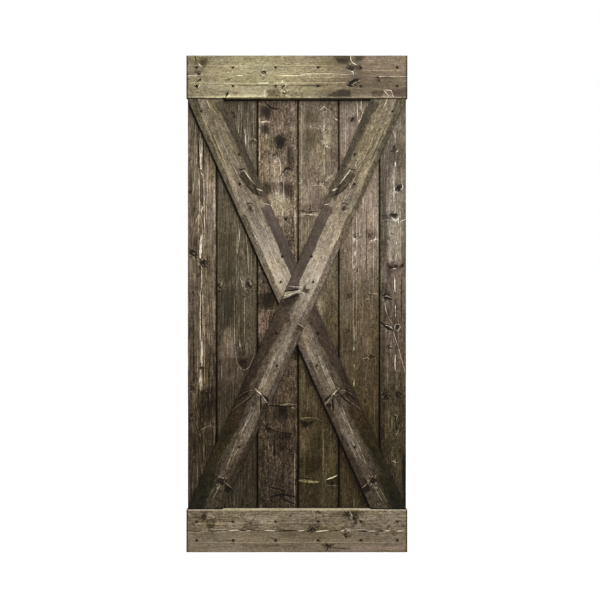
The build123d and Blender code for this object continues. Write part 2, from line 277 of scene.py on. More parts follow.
        (1.8, 0.4, 368, 664, 384, 678, 404, 660), (1.6, 0.26, 419, 541, 429, 504, 435, 508, 446, 548),
        (1.8, 0.34, 414, 382, 436, 382), (1.8, 0.3, 425, 394, 425, 370), (1.8, 0.18, 446, 1500, 447, 1250),
        (1.8, 0.16, 400, 1540, 399, 1460), (1.6, 0.14, 410, 360, 411, 240), (1.6, 0.14, 378, 1800, 378, 1560),
        (1.6, -0.2, 452, 1180, 452, 1000), (1.6, 0.4, 422, 1570, 425, 1552, 438, 1548),
        (1.6, 0.4, 457, 1586, 458, 1568, 450, 1562), (1.8, 0.5, 412, 1440, 425, 1423, 438, 1442, 438, 1414),
        (1.8, 0.45, 434, 1419, 469, 1432), (2, 0.5, 408, 1215, 421, 1221, 434, 1217),
        (2, 0.5, 373, 1098, 388, 1102, 404, 1095), (2.4, -0.45, 380, 1092, 398, 1090, 410, 1085),
        (1.6, 0.44, 421, 956, 425, 977, 440, 980, 447, 964, 437, 950),
        (2.6, -0.6, 360, 992, 378, 974, 392, 960, 414, 952), (2, 0.55, 378, 973, 394, 974, 412, 962),
        (2, -0.5, 394, 876, 398, 886), (2, 0.45, 404, 884, 412, 878),
        (1.6, 0.4, 421, 590, 434, 582, 430, 564, 419, 573), (1.8, 0.5, 412, 387, 430, 382),
    ),
}

# Blotches: x, z, reach across, reach up, lightness, purple (olive below 0)
BLOTCHES = {
    "top_rail": (
        (-238, 2040, 130, 110, 0.08, -0.3), (-60, 2050, 150, 110, 0.05, -0.4), (196, 2112, 34, 20, -0.1, -0.4),
        (262, 2114, 22, 18, -0.07, -0.6), (190, 1968, 55, 16, -0.08, -0.2), (330, 2040, 160, 110, -0.09, 0.7),
        (-103, 1972, 28, 16, -0.02, -0.3), (-137, 1972, 6, 20, 0.16, 0), (-400, 2104, 12, 26, -0.05, -0.4),
        (-428, 2078, 26, 24, -0.1, 0.2), (90, 1975, 60, 14, -0.08, -0.6), (420, 1975, 60, 18, -0.08, 0.6),
        (243, 2050, 40, 60, -0.07, 0.1), (-430, 2110, 40, 22, -0.06, -0.2), (120, 2110, 60, 20, -0.05, 0),
    ),
    "bottom_rail": (
        (-400, 155, 24, 24, -0.07, 0), (-372, 116, 24, 20, -0.08, -0.3), (225, 160, 34, 22, -0.12, 0.2),
        (216, 77, 26, 14, -0.1, 0), (340, 22, 120, 14, 0.06, 0.9), (-100, 130, 140, 30, 0.05, 0),
        (60, 110, 40, 24, -0.06, 0), (-420, 40, 70, 24, -0.04, 0), (0, 48, 400, 8, 0.04, 0),
        (134, 26, 24, 14, -0.08, 0), (430, 120, 60, 40, 0.03, 0.4), (-200, 30, 120, 16, -0.05, 0),
    ),
    "plank_1": (
        (-440, 1330, 24, 26, -0.12, 0.6), (-395, 1240, 30, 30, -0.1, 0.2), (-370, 1545, 26, 190, 0.06, 0.3),
        (-410, 1900, 60, 70, -0.05, 0), (-380, 1060, 40, 120, 0.04, 0.2), (-386, 640, 40, 40, -0.1, -0.5),
        (-440, 470, 40, 60, -0.03, -0.6), (-400, 240, 60, 90, -0.02, 0), (-410, 780, 8, 20, -0.2, 0),
        (-450, 1500, 16, 300, -0.05, 0), (-412, 1680, 30, 60, 0.05, 0),
    ),
    "plank_2": (
        (-270, 1890, 20, 40, -0.06, 0), (-290, 1280, 36, 110, -0.05, -0.3), (-296, 1050, 36, 90, -0.07, -0.1),
        (-225, 1170, 40, 30, 0.05, 0), (-300, 905, 36, 60, 0.09, 0.4), (-230, 806, 34, 34, -0.05, 0.2),
        (-216, 880, 14, 34, 0.1, 0), (-300, 700, 40, 60, -0.03, 0.3), (-320, 1480, 30, 120, -0.03, -0.2),
        (-250, 1300, 30, 100, -0.03, 0), (-200, 1040, 20, 70, 0.04, 0), (-250, 400, 90, 170, -0.01, 0.1),
    ),
    "plank_3": (
        (-134, 1900, 30, 22, -0.19, 0.2), (-138, 1824, 24, 22, -0.16, 0.2), (-73, 1768, 27, 32, -0.29, -0.6),
        (-27, 1690, 20, 50, -0.1, 0), (-130, 1570, 28, 26, -0.14, 0), (-44, 1566, 24, 26, -0.16, 0.8),
        (-90, 1500, 44, 60, 0.11, -0.3), (-100, 1620, 60, 70, 0.03, 0.2), (-134, 1076, 36, 40, -0.16, -0.2),
        (-140, 960, 34, 80, 0.04, 0.9), (-60, 605, 36, 34, -0.12, 0), (-60, 500, 40, 30, -0.06, -0.2),
        (-60, 450, 24, 16, -0.08, 0), (-62, 240, 60, 30, -0.04, 0), (-110, 420, 30, 60, 0.04, 0),
        (-40, 820, 20, 90, 0.02, 0.5), (-120, 1380, 34, 60, 0.05, 0.5), (-20, 1340, 20, 40, -0.12, 0.3),
        (-20, 1880, 22, 70, 0.04, 0.3), (-100, 700, 50, 60, 0.02, 0.6),
    ),
    "plank_4": (
        (61, 1874, 34, 32, -0.06, -0.3), (57, 1774, 30, 56, -0.08, -0.3), (133, 1780, 22, 30, 0.07, -0.3),
        (95, 1690, 60, 60, 0.05, -0.2), (90, 1510, 44, 42, -0.08, 0.5), (40, 1380, 40, 60, 0.05, 0),
        (100, 1063, 20, 60, 0.07, -0.3), (38, 545, 32, 24, -0.06, 0.3), (40, 470, 30, 60, 0.05, 1),
        (78, 465, 24, 50, -0.06, 0), (62, 365, 50, 50, -0.05, 0), (152, 291, 30, 14, -0.05, 0),
        (60, 700, 50, 90, 0.02, 0.2), (95, 240, 60, 36, -0.03, 0.2), (150, 1850, 20, 40, 0.04, 0.2),
        (20, 1760, 10, 180, 0.05, 0),
    ),
    "plank_5": (
        (239, 1862, 20, 22, -0.1, 0), (320, 1430, 50, 160, 0.09, 0.3), (321, 1364, 32, 22, -0.08, 0.2),
        (218, 1700, 20, 160, 0.04, 0.3), (252, 1000, 40, 120, -0.03, 0), (317, 835, 30, 26, -0.07, 0),
        (250, 300, 60, 100, -0.02, -0.6), (300, 1130, 60, 60, -0.02, 0), (300, 560, 60, 120, -0.02, -0.3),
        (225, 1102, 16, 20, -0.08, 0), (320, 1250, 40, 40, 0.04, 0.2), (210, 930, 20, 40, -0.07, 0),
    ),
    "plank_6": (
        (423, 1735, 26, 40, -0.09, 0), (376, 1018, 16, 34, -0.07, 0), (380, 1600, 10, 260, -0.06, 0.3),
        (462, 1500, 10, 400, -0.04, 0), (438, 1572, 22, 26, -0.08, 0), (421, 1340, 30, 60, 0.04, 0.3),
        (424, 1228, 44, 22, -0.12, 0), (388, 1096, 22, 22, -0.1, 0.2), (425, 968, 30, 30, -0.08, 0),
        (400, 900, 34, 40, -0.03, 0), (410, 668, 50, 20, -0.05, 0), (430, 560, 30, 40, -0.03, -0.5),
        (462, 350, 12, 160, -0.12, 0), (425, 1650, 24, 120, 0.06, 0.4), (400, 1480, 24, 60, 0.05, 0.3),
    ),
}

# Patches: lightness, purple, softness of their edge, then x and z of each corner, or of two of a rectangle
PATCHES = {
    "top_rail": (
        (-0.16, -0.3, 14, 155, 2135, 229, 2135, 233, 2114, 211, 2096, 173, 2105),
        (-0.14, -0.5, 10, 246, 2135, 297, 2135, 280, 2109, 250, 2109),
        (-0.16, 0.2, 10, 207, 2079, 229, 2092, 272, 2092, 280, 2071, 237, 2066),
        (-0.2, 0.1, 8, 220, 2015, 241, 2032, 276, 2036, 254, 2019, 237, 2002, 220, 2002),
        (-0.18, -0.2, 10, 155, 1976, 190, 1989, 229, 1984, 233, 1954, 125, 1954),
        (-0.13, 0, 5, -131, 1989, -77, 1989, -68, 1956, -124, 1954),
        (-0.1, 0.6, 12, 405, 1984, 470, 1989, 470, 1954, 418, 1954),
        (-0.12, 0.1, 8, 319, 1980, 375, 1984, 362, 1954, 323, 1954),
        (-0.12, -0.2, 10, -417, 2118, -383, 2122, -391, 2083, -409, 2075),
        (0.14, -0.2, 6, -396, 1963, -142, 1967, -133, 1954, -396, 1954),
    ),
    "bottom_rail": (
        (-0.13, 0, 9, -409, 176, -387, 176, -396, 133, -404, 129),
        (0.1, 0.4, 6, -383, 168, -353, 168, -357, 146, -387, 146),
        (-0.12, -0.4, 12, -391, 142, -357, 142, -348, 112, -383, 95),
        (-0.12, 0, 12, -232, 125, -193, 133, -159, 125, -176, 95, -241, 95),
        (-0.14, 0.2, 8, 203, 176, 224, 176, 229, 151, 211, 151),
        (-0.13, -0.3, 6, 233, 176, 263, 176, 259, 138, 246, 103, 229, 103, 246, 138),
        (-0.1, 0.1, 12, 65, 125, 99, 125, 91, 99, 61, 99), (0.03, 0.9, 14, 220, 30, 452, 30, 452, 8, 229, 8),
        (0.03, 0.9, 14, -452, 77, -430, 77, -422, 17, -452, 17),
    ),
    "plank_1": (
        (0.02, 0.7, 12, -394, 1605, -351, 1380), (-0.1, 0, 5, -420, 1605, -407, 1497),
        (0.03, -0.9, 12, -403, 803, -360, 716), (-0.08, 0, 10, -403, 703, -368, 660),
        (0.03, 0.9, 6, -477, 478, -464, 183), (-0.06, 0.3, 14, -420, 651, -360, 564),
    ),
    "plank_2": (
        (-0.05, -0.3, 20, -280, 1960, -180, 1960, -180, 1760, -240, 1780), (0.04, 0.3, 16, -320, 820, -190, 720),
        (-0.05, -0.2, 14, -338, 1362, -264, 1362, -269, 1189, -290, 1171, -338, 1180),
        (-0.05, -0.2, 14, -338, 1137, -264, 1145, -264, 976, -295, 976, -316, 946, -338, 890),
        (0.06, 0.3, 5, -325, 868, -316, 946, -295, 972, -264, 929, -260, 833, -325, 833),
        (-0.04, 0, 12, -325, 825, -264, 825, -264, 760, -321, 760),
        (-0.07, 0.8, 8, -260, 830, -199, 838, -208, 794, -234, 781, -256, 799), (0.01, 0.8, 30, -338, 900, -180, 700),
    ),
    "plank_3": (
        (-0.08, 0.3, 12, -160, 1917, -117, 1917, -117, 1865, -160, 1861),
        (-0.09, 0.9, 12, -160, 1839, -125, 1839, -125, 1804, -160, 1791),
        (0.05, -0.9, 8, -151, 1800, -108, 1813, -91, 1735, -143, 1726),
        (-0.1, -0.2, 10, -104, 1787, -78, 1800, -47, 1783, -43, 1752, -69, 1735, -99, 1748),
        (-0.09, 0, 4, -41, 1748, -12, 1744, -8, 1644, -41, 1644),
        (0.07, 0, 12, -151, 1692, -73, 1709, -60, 1596, -134, 1588),
        (-0.05, 0.2, 14, -151, 1588, -108, 1588, -99, 1549, -143, 1536),
        (-0.09, 0.9, 10, -69, 1592, -21, 1575, -13, 1536, -47, 1544),
        (0.11, -0.4, 10, -117, 1540, -73, 1562, -30, 1518, -39, 1449, -108, 1449),
        (-0.08, -0.2, 12, -169, 1111, -99, 1119, -95, 1063, -117, 1050, -169, 1046),
        (0.05, 0.9, 8, -169, 1033, -108, 1033, -134, 955, -169, 890),
        (-0.05, 0.5, 24, -80, 616, -39, 621, -30, 564, -75, 564),
        (-0.12, 0, 8, -91, 512, -26, 508, -30, 478, -73, 478),
        (-0.08, 0.2, 8, -78, 456, -47, 456, -47, 434, -73, 430),
        (-0.15, 0.2, 5, -17, 859, -2, 859, -2, 820, -13, 833),
    ),
    "plank_4": (
        (-0.04, 0.2, 20, 20, 1720, 170, 1720, 160, 1620, 20, 1620),
        (0.05, 0, 20, 20, 1590, 130, 1590, 100, 1450, 20, 1450),
        (-0.04, -0.8, 6, 26, 1896, 87, 1896, 87, 1852, 31, 1848),
        (-0.05, -0.8, 6, 22, 1822, 91, 1822, 104, 1770, 57, 1726, 26, 1726),
        (0.05, -0.3, 6, 122, 1839, 148, 1839, 152, 1761, 122, 1757), (-0.03, 0.9, 8, 31, 1648, 57, 1570),
        (-0.03, 0.9, 8, 135, 1735, 169, 1657), (-0.1, 0.6, 14, 22, 1497, 100, 1505, 109, 1475, 22, 1466),
        (0.04, -0.3, 6, 83, 1115, 113, 1102, 109, 1007, 91, 1015), (0.05, -0.8, 6, 9, 846, 39, 816, 39, 651, 9, 651),
        (-0.07, 0, 6, 26, 816, 65, 773, 83, 716, 39, 703), (-0.14, 0.2, 5, 13, 562, 83, 561, 48, 536, 26, 534),
        (-0.05, 0, 5, 26, 599, 57, 612, 83, 577, 22, 577), (0.04, 0.5, 6, 18, 521, 57, 530, 48, 434, 13, 413),
        (-0.03, -0.8, 6, 61, 512, 100, 521, 109, 456, 83, 426, 57, 447),
        (-0.03, -0.8, 18, 26, 404, 109, 404, 100, 348, 39, 330, 22, 365),
        (-0.06, -0.4, 6, 126, 304, 174, 317, 174, 283, 130, 287), (0, 0.8, 24, 13, 694, 100, 586),
        (0.02, -0.7, 10, 130, 412, 169, 326), (0.05, 0, 14, 102, 543, 124, 200), (-0.02, -0.3, 14, 13, 290, 100, 196),
    ),
    "plank_5": (
        (-0.05, -0.5, 8, 295, 1380, 352, 1349), (0.05, 0.5, 8, 282, 920, 330, 846),
        (-0.02, 0.4, 8, 269, 812, 339, 651),
    ),
    "plank_6": (
        (-0.08, 0, 8, 358, 1700, 380, 1700, 388, 1560, 384, 1450, 358, 1440),
        (-0.06, 0, 8, 358, 1436, 388, 1420, 390, 1340, 380, 1240, 358, 1240), (0.1, 0.4, 20, 392, 1420, 455, 1240),
        (0.05, 0.3, 20, 390, 1560, 460, 1460), (-0.06, 0, 24, 385, 1760, 470, 1620),
        (0.01, 1.3, 30, 370, 1260, 470, 780), (-0.1, 0, 5, 365, 1453, 404, 1432),
        (-0.22, 0.1, 3, 404, 1458, 434, 1445), (-0.25, 0, 3, 430, 1579, 443, 1579, 451, 1557, 438, 1557),
        (-0.03, 0, 8, 360, 1345, 391, 1249), (-0.2, 0.1, 3, 399, 1232, 417, 1223),
        (-0.18, 0.1, 3, 443, 1223, 460, 1249, 464, 1236, 447, 1221), (-0.1, 0.1, 6, 365, 1158, 395, 1102),
        (0.05, 0.7, 8, 382, 942, 425, 859), (-0.07, 0.5, 4, 365, 955, 378, 478), (-0.14, 0.2, 4, 373, 673, 404, 660),
        (0.04, 0, 8, 412, 629, 451, 599), (-0.12, -0.5, 5, 458, 413, 477, 183),
    ),
}

# The same for the diagonals, which mirror each other: u up from the crossing, then across to the outer side
BRACE_KNOTS = (
    (956, -30, 5, 0.3), (457, 16, 10, 0.35), (620, -50, 6, 0.3), (500, -60, 7, 0.2), (-78, -6, 8, 0.7),
    (-410, -2, 10, 0.8), (-452, 56, 10, 0.7), (-826, 13, 12, 1.5), (-700, -46, 7, 0.2), (830, 20, 5, 0.3),
    (-560, -40, 7, 0.4), (-300, 30, 5, 0.4),
)
BRACE_STREAKS = (
    (2, 0.3, 956, -4, 918, -5), (2.6, 0.34, 623, -25, 590, -32, 545, -43), (2.4, -0.3, 621, -32, 627, -8),
    (3.6, 0.4, 522, -44, 505, -62), (1.8, -0.16, 552, -8, 505, -29, 488, -48, 476, -64),
    (2, -0.3, 472, 0, 479, 8, 478, 24), (2.4, 0.34, 450, -50, 435, -67), (2, 0.3, 357, 45, 321, 45),
    (2, 0.26, -74, 35, -80, 69), (1.8, 0.24, -228, 5, -330, 4, -404, 5), (1.8, 0.2, -250, -1, -400, -3),
    (1.8, 0.2, -250, 11, -400, 14), (3.6, 0.42, -404, -16, -411, -4, -414, 6, -420, 22),
    (2.6, -0.4, -422, -7, -450, -18, -482, -32), (2.6, -0.4, -424, 20, -450, 32, -482, 46),
    (2, 0.26, -413, -14, -422, -34, -444, -54, -471, -67), (3, -0.4, -416, 26, -430, 62),
    (2.2, 0.28, -424, 30, -436, 50, -447, 69), (1.8, 0.22, -429, -9, -470, -34, -500, -52, -529, -67),
    (1.8, 0.18, -564, -52, -562, -30), (1.8, 0.26, -480, 4, -560, 8, -620, 12),
    (1.8, 0.22, -480, 16, -540, 16, -610, 2), (2.2, 0.14, -808, -30, -812, 0, -808, 34),
    (2, 0.32, -826, 37, -836, 69), (2, 0.28, -850, 17, -918, 13), (2.6, 0.5, -858, 10, -864, 10),
    (1.8, 0.2, -860, 0, -930, -8), (1.8, 0.16, 780, 8, 600, 6, 480, 2), (1.8, 0.18, 700, -16, 640, -14),
    (1.8, 0.16, 240, 8, 130, 12), (1.8, 0.2, -640, 6, -760, 10), (1.8, 0.18, -640, 24, -740, 20),
    (2, 0.14, 420, -6, 300, -4), (1.8, 0.14, 800, 30, 660, 34), (1.6, -0.16, 860, 36, 700, 40),
)
BRACE_BLOTCHES = (
    (457, 16, 12, 9.5, -0.2, 0.6), (600, 36, 110, 13, 0.05, 0.2), (800, -20, 120, 12, 0.04, -0.3),
    (-90, 4, 14, 14, -0.08, 0), (430, 50, 40, 14, -0.05, -0.6), (-380, 8, 24, 18, 0.1, 0),
    (-620, 30, 30, 12, 0.03, 0.9), (-785, 8, 50, 20, 0.04, 0.8), (-465, 58, 24, 14, -0.1, 0),
    (700, -6, 60, 14, 0.04, 0.2), (-250, 30, 60, 10, 0.03, 0),
)
BRACE_PATCHES = (
    (-0.2, -0.3, 5, 614, -24, 609, 6, 590, -1, 551, -6, 520, -18, 500, -30, 490, -44, 528, -46, 545, -40),
    (-0.05, 0, 4, 500, -66, 489, -66, 486, -48, 494, -44), (0.17, 0, 5, 475, -50, 440, -50, 440, -26, 470, -28),
    (0.06, -0.2, 12, 660, 16, 660, 46, 560, 48, 530, 30, 560, 20), (0.12, 0, 5, 478, 42, 446, 42, 440, 68, 470, 68),
    (0.1, 0, 5, 955, -66, 930, -66, 930, -28, 955, -30), (-0.14, 0.1, 5, -80, 40, -96, 40, -98, 68, -82, 68),
    (-0.2, 0, 4, -833, 40, -860, 42, -860, 68, -836, 68), (-0.12, 0.2, 5, -420, -40, -440, -62, -480, -66, -440, -30),
    (-0.1, 0.2, 5, -425, -6, -430, 18, -500, 8),
)

# Marks that only the long brace has
CROSSING_STREAKS = (
    (2.2, -0.4, 28, -68, 64, -13), (2.6, 0.3, 56, -62, 64, -36, 74, -12), (2.8, 0.3, 53, -3, 55, 12),
    (2.2, 0.26, -6, -68, 18, -40), (2.6, -0.26, -8, -64, 14, -36, 36, -12, 50, 0),
    (1.8, 0.2, 8, -66, 30, -36, 54, -14),
)
CROSSING_PATCHES = (
    (0.3, -1.2, 4, 25, -69, 60, -16, 52, -10, 32, -28, 16, -48, 4, -69),
    (-0.09, 0.2, 14, -24, -69, 8, -44, 44, -6, 34, 4, 0, -12, -40, -50),
    (-0.3, 0.3, 5, 94, 2, 78, 8, 78, 26, 62, 24, 54, 6, 60, -4, 78, -4),
    (-0.12, 0.2, 5, 50, 0, 50, 12, 42, 12, 40, 0),
)

# Where the bands of darker stain along a diagonal's edges begin, as u and how far across
INNER_BAND = (
    (-980, -10), (-830, -12), (-793, -34), (-748, -29), (-703, -34), (-659, -20), (-614, -18), (-525, -14),
    (-393, -43), (-357, -36), (-313, -32), (-268, -29), (-223, -25), (-179, -18), (-134, -15), (-60, -12), (0, -12),
    (36, -4), (60, -20), (98, -29), (232, -26), (277, -28), (321, -29), (366, -26), (442, -25), (540, -38),
    (627, -43), (712, -43), (801, -41), (868, -39), (900, -29), (960, -29),
)
OUTER_BAND = (
    (-950, 24), (-850, 28), (-793, 42), (-703, 44), (-614, 46), (-569, 51), (-525, 46), (-357, 48.6), (-223, 44),
    (-134, 37), (0, 40), (98, 47), (143, 45.5), (277, 44), (366, 46), (411, 44), (489, 53), (533, 55), (623, 48.6),
    (712, 51), (757, 47), (801, 48.6), (921, 44), (940, 34), (960, 30),
)

# How light the diagonals are in each band, as u and lightness
INNER_LIGHT = (
    (-900, 0.1), (-500, 0.16), (-80, 0.21), (100, 0.29), (300, 0.26), (440, 0.31), (560, 0.24), (950, 0.24),
)
MIDDLE_LIGHT = (
    (-900, 0.25), (-780, 0.27), (-620, 0.375), (-450, 0.35), (-300, 0.375), (-180, 0.435), (-60, 0.41), (140, 0.61),
    (380, 0.5), (560, 0.38), (950, 0.39),
)
OUTER_LIGHT = (
    (-900, 0.245), (-850, 0.23), (-820, 0.195), (-700, 0.19), (-450, 0.28), (-100, 0.34), (150, 0.43), (450, 0.37),
    (600, 0.31), (950, 0.29),
)

# Lightness of a plank at its head and foot or a rail at its left and right, then its purple and its coolness
# there, and how lined and how speckled the board looks
BOARD_LOOK = {
    "plank_1": (0.385, 0.215, 0.2, 0.3, -0.1, -0.5, 1.3, 0.9),
    "plank_2": (0.355, 0.21, -0.25, -0.1, 0.35, -0.15, 0.75, 0.8),
    "plank_3": (0.395, 0.215, 0.4, 0.5, -0.1, -0.6, 0.5, 1.55),
    "plank_4": (0.4, 0.23, 0.15, -0.2, 0.15, -1.55, 0.42, 1.0),
    "plank_5": (0.445, 0.215, 0.35, 0.1, 0.35, -1.7, 0.55, 0.95),
    "plank_6": (0.425, 0.225, -0.1, -0.1, 0.75, -0.5, 0.65, 1.0),
    "top_rail": (0.48, 0.46, -0.3, -0.05, -0.4, -0.1, 0.36, 0.85),
    "bottom_rail": (0.495, 0.46, 0.2, 0.1, -0.6, -0.2, 0.6, 1.2),
}
BRACE_LOOK = (0.36, 1.05)


def door_lean():
    """Lean of the diagonals, whose outer edges touch the corners between the rails."""
    low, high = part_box("long_brace")
    wide, tall = high.x - low.x, high.z - low.z + 2 * FIT_GAP
    return acos(BRACE_WIDTH / hypot(wide, tall)) - atan2(tall, wide)


LEAN = door_lean()
OPENING_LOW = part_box("bottom_rail")[1].z
OPENING_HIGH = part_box("top_rail")[0].z
OPENING_MIDDLE = (OPENING_LOW + OPENING_HIGH) / 2


class Board:
    """One board: its place on the door, its directions, its section and its ends."""

    def __init__(self, name, middle, along, across, half_width, face, ends, left_v=0.0, right_v=0.0):
        self.name, self.half_width, self.face = name, half_width, face
        self.middle, self.along, self.across = np.array(middle), np.array(along), np.array(across)
        # Each end is u at v 0 and how much u grows with v
        self.ends = ends
        # The V on each side, which is 0 where the board has no neighbour
        self.left_v, self.right_v = left_v, right_v
        # The half braces have the long one's marks, mirrored
        self.side = -1 if name in ("upper_brace", "lower_brace") else 1

    def to_local(self, x, z):
        """u and v of a place on the door in metres."""
        dx, dz = x - self.middle[0], z - self.middle[1]
        return dx * self.along[0] + dz * self.along[1], dx * self.across[0] + dz * self.across[1]

    def to_world(self, u, v, w):
        x = self.middle[0] + u * self.along[0] + v * self.across[0]
        z = self.middle[1] + u * self.along[1] + v * self.across[1]
        return np.stack([x, -w, z], axis=-1)


def plank_boards():
    boards = []
    count = 6
    for number in range(1, count + 1):
        low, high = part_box(f"plank_{number}")
        first, last = number == 1, number == count
        right = high.x - (0.0 if last else TONGUE)
        half_height = (high.z - low.z) / 2
        boards.append(Board(
            f"plank_{number}", ((low.x + right) / 2, half_height), (0.0, 1.0), (1.0, 0.0), (right - low.x) / 2, 0.0,
            ((-half_height, 0.0), (half_height, 0.0)), 0.0 if first else V_JOINT, 0.0 if last else V_JOINT,
        ))
    return boards


def rail_boards():
    boards = []
    for name in ("top_rail", "bottom_rail"):
        low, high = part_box(name)
        half_length = (high.x - low.x) / 2
        boards.append(Board(
            name, (0.0, (low.z + high.z) / 2), (1.0, 0.0), (0.0, -1.0), (high.z - low.z) / 2, THICKNESS,
            ((-half_length, 0.0), (half_length, 0.0)),
        ))
    return boards


def brace_boards():
    """The long brace between the rails, and the two halves that butt against it."""
    low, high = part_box("long_brace")
    half = BRACE_WIDTH / 2
    reach = (high.z - low.z) / 2 / cos(LEAN)
    # Along an end that is level on the door, u grows with v by this much
    level = tan(LEAN)
    # Where a half meets the long brace's edge
    near, slope = (half + FIT_GAP) / sin(2 * LEAN), 1 / tan(2 * LEAN)
    ends = {
        "long_brace": ((-reach, level), (reach, level)),
        "upper_brace": ((near, slope), (reach, -level)),
        "lower_brace": ((-reach, -level), (-near, slope)),
    }
    boards = []
    for name, its_ends in ends.items():
        turn = LEAN if name == "long_brace" else -LEAN
        along, across = (sin(turn), cos(turn)), (cos(turn), -sin(turn))
        boards.append(Board(name, (0.0, OPENING_MIDDLE), along, across, half, THICKNESS, its_ends))
    return boards


def front_profile(board):
    """Points across the front from its left arris to its right one, as v and how far below the face they are."""
    half = board.half_width
    eased = ((0.0, EASED), (0.29 * EASED, 0.29 * EASED), (EASED, 0.0))
    corners = [((0.0, v), (v, 0.0)) if v else eased for v in (board.left_v, board.right_v)]
    left = [(-half + inward, depth) for inward, depth in corners[0]]
    right = [(half - inward, depth) for inward, depth in corners[1]]
    v_first, v_last = left[-1][0], right[-1][0]
    count = max(6, round((v_last - v_first) / COLUMN))
    middle = [(v_first + (v_last - v_first) * i / count, 0.0) for i in range(1, count)]
    return left + middle + right[::-1]


def edge_profile(board, side):
    """Points down the edge on that side, below the front's corner: tongue or groove, if it has one."""
    v, t = side * board.half_width, TONGUE_SETBACK
    if side > 0 and board.right_v:
        h, tip, eased = TONGUE_HALF, v + TONGUE, 0.5 * MM
        return [(v, t - h), (tip - eased, t - h), (tip, t - h + eased),
                (tip, t + h - eased), (tip - eased, t + h), (v, t + h)]
    if side < 0 and board.left_v:
        h, bottom = TONGUE_HALF + GROOVE_CLEARANCE, v + TONGUE + GROOVE_EXTRA
        return [(v, t - h), (bottom, t - h), (bottom, t + h), (v, t + h)]
    return [(v, THICKNESS * 0.5)]


def section(board):
    """The whole loop of the section as v and w, and how many of its points are on the front."""
    front = front_profile(board)
    half = board.half_width
    count = max(4, round(2 * half / BACK_COLUMN))
    rear = [(half - 2 * half * i / count, THICKNESS) for i in range(count + 1)]
    loop = front + edge_profile(board, 1) + rear + edge_profile(board, -1)[::-1]
    return np.array([(v, board.face - depth) for v, depth in loop]), len(front)


def stations(board):
    """Places along the board from 0 to 1, with a short first and last step for the sawn arris."""
    length = board.ends[1][0] - board.ends[0][0]
    inner = max(4, round((length - 2 * SAWN) / STATION))
    step = SAWN / length
    return np.concatenate([[0.0], np.linspace(step, 1 - step, inner + 1), [1.0]])


def pairs(flat):
    return list(zip(flat[::2], flat[1::2]))


def corners_of(flat):
    """The corners of a patch. Four numbers are two opposite corners of a rectangle."""
    if len(flat) == 4:
        a, b, c, d = flat
        flat = a, b, c, b, c, d, a, d
    return pairs(flat)


def local_marks(board):
    """The knots, streaks, blotches and patches of a board in its own u and v, in metres."""
    is_brace = board.name.endswith("_brace")
    if is_brace:
        tables = [BRACE_KNOTS, BRACE_STREAKS, BRACE_BLOTCHES, BRACE_PATCHES]
    else:
        tables = [table[board.name] for table in (KNOTS, STREAKS, BLOTCHES, PATCHES)]
    if board.name == "long_brace":
        tables[1] += CROSSING_STREAKS
        tables[3] += CROSSING_PATCHES
    upright = board.name.startswith("plank")

    def place(a, b):
        return (a * MM, board.side * b * MM) if is_brace else board.to_local(a * MM, b * MM)

    knots = [(*place(a, b), radius * MM, dark) for a, b, radius, dark in tables[0]]
    streaks = [(half_width * MM, light, *[place(*point) for point in pairs(flat)])
               for half_width, light, *flat in tables[1]]
    blotches = [(*place(a, b), *[reach * MM for reach in (reaches[::-1] if upright else reaches)], light, hue)
                for a, b, *reaches, light, hue in tables[2]]
    patches = [(light, hue, soft * MM, *[place(*corner) for corner in corners_of(flat)])
               for light, hue, soft, *flat in tables[3]]
    return knots, streaks, blotches, patches


def take_nearer(field, closer, values):
    for axis, value in enumerate(values):
        field[..., axis] = np.where(closer, value, field[..., axis])


def knot_fields(rng, u, v, knots):
    """Where the nearest knot is, in its own radii, how dark it is, and how far the grain is pushed aside."""
    nearest = np.full(u.shape, 9.0)
    field = np.zeros(u.shape + (3,))
    push = np.zeros(u.shape)
    for ku, kv, radius, dark in knots:
        du, dv = (u - ku) / (1.15 * radius), (v - kv) / radius
        reach = np.hypot(du, dv)
        closer = reach < nearest
        nearest = np.where(closer, reach, nearest)
        # Its dark side faces its own way, more often across the grain
        turn = rng.choice((0.0, pi)) + rng.uniform(-0.9, 0.9)
        mask = dark * smooth(reach, 3.4, 2.6)
        take_nearer(field, closer, (dv * cos(turn) + du * sin(turn), du * cos(turn) - dv * sin(turn), mask))
        stretched = np.hypot((u - ku) / (2.6 * radius), dv)
        push -= (v - kv) / np.maximum(stretched**2, 1.0) * np.exp(-((stretched / 5.0) ** 2)) * min(1.0, dark + 0.3)
    return field, push


def streak_fields(u, v, streaks):
    """Signed distance from the nearest streak in its half widths, and its lightness there."""
    nearest = np.full(u.shape, 1.0)
    field = np.zeros(u.shape + (2,))
    for half_width, light, *points in streaks:
        lengths = [hypot(u1 - u0, v1 - v0) for (u0, v0), (u1, v1) in zip(points, points[1:])]
        whole, before = sum(lengths), 0.0
        taper = min(0.4 * whole, 40 * MM)
        for (u0, v0), (u1, v1), length in zip(points, points[1:], lengths):
            eu, ev = (u1 - u0) / length, (v1 - v0) / length
            t = (u - u0) * eu + (v - v0) * ev
            offset = (v - v0) * eu - (u - u0) * ev
            beyond = np.maximum(np.maximum(-t, t - length), 0.0)
            distance = np.hypot(offset, beyond)
            closer = distance < nearest
            nearest = np.where(closer, distance, nearest)
            fade = smooth(distance, 12 * MM, 7 * MM) * smooth(beyond, 7 * MM, 0.0)
            from_end = np.minimum(before + t, whole - before - t)
            width = half_width * (0.35 + 0.65 * np.sqrt(np.clip(from_end / taper, 0.0, 1.0)))
            take_nearer(field, closer, (offset / width, light * fade))
            before += length
    return field


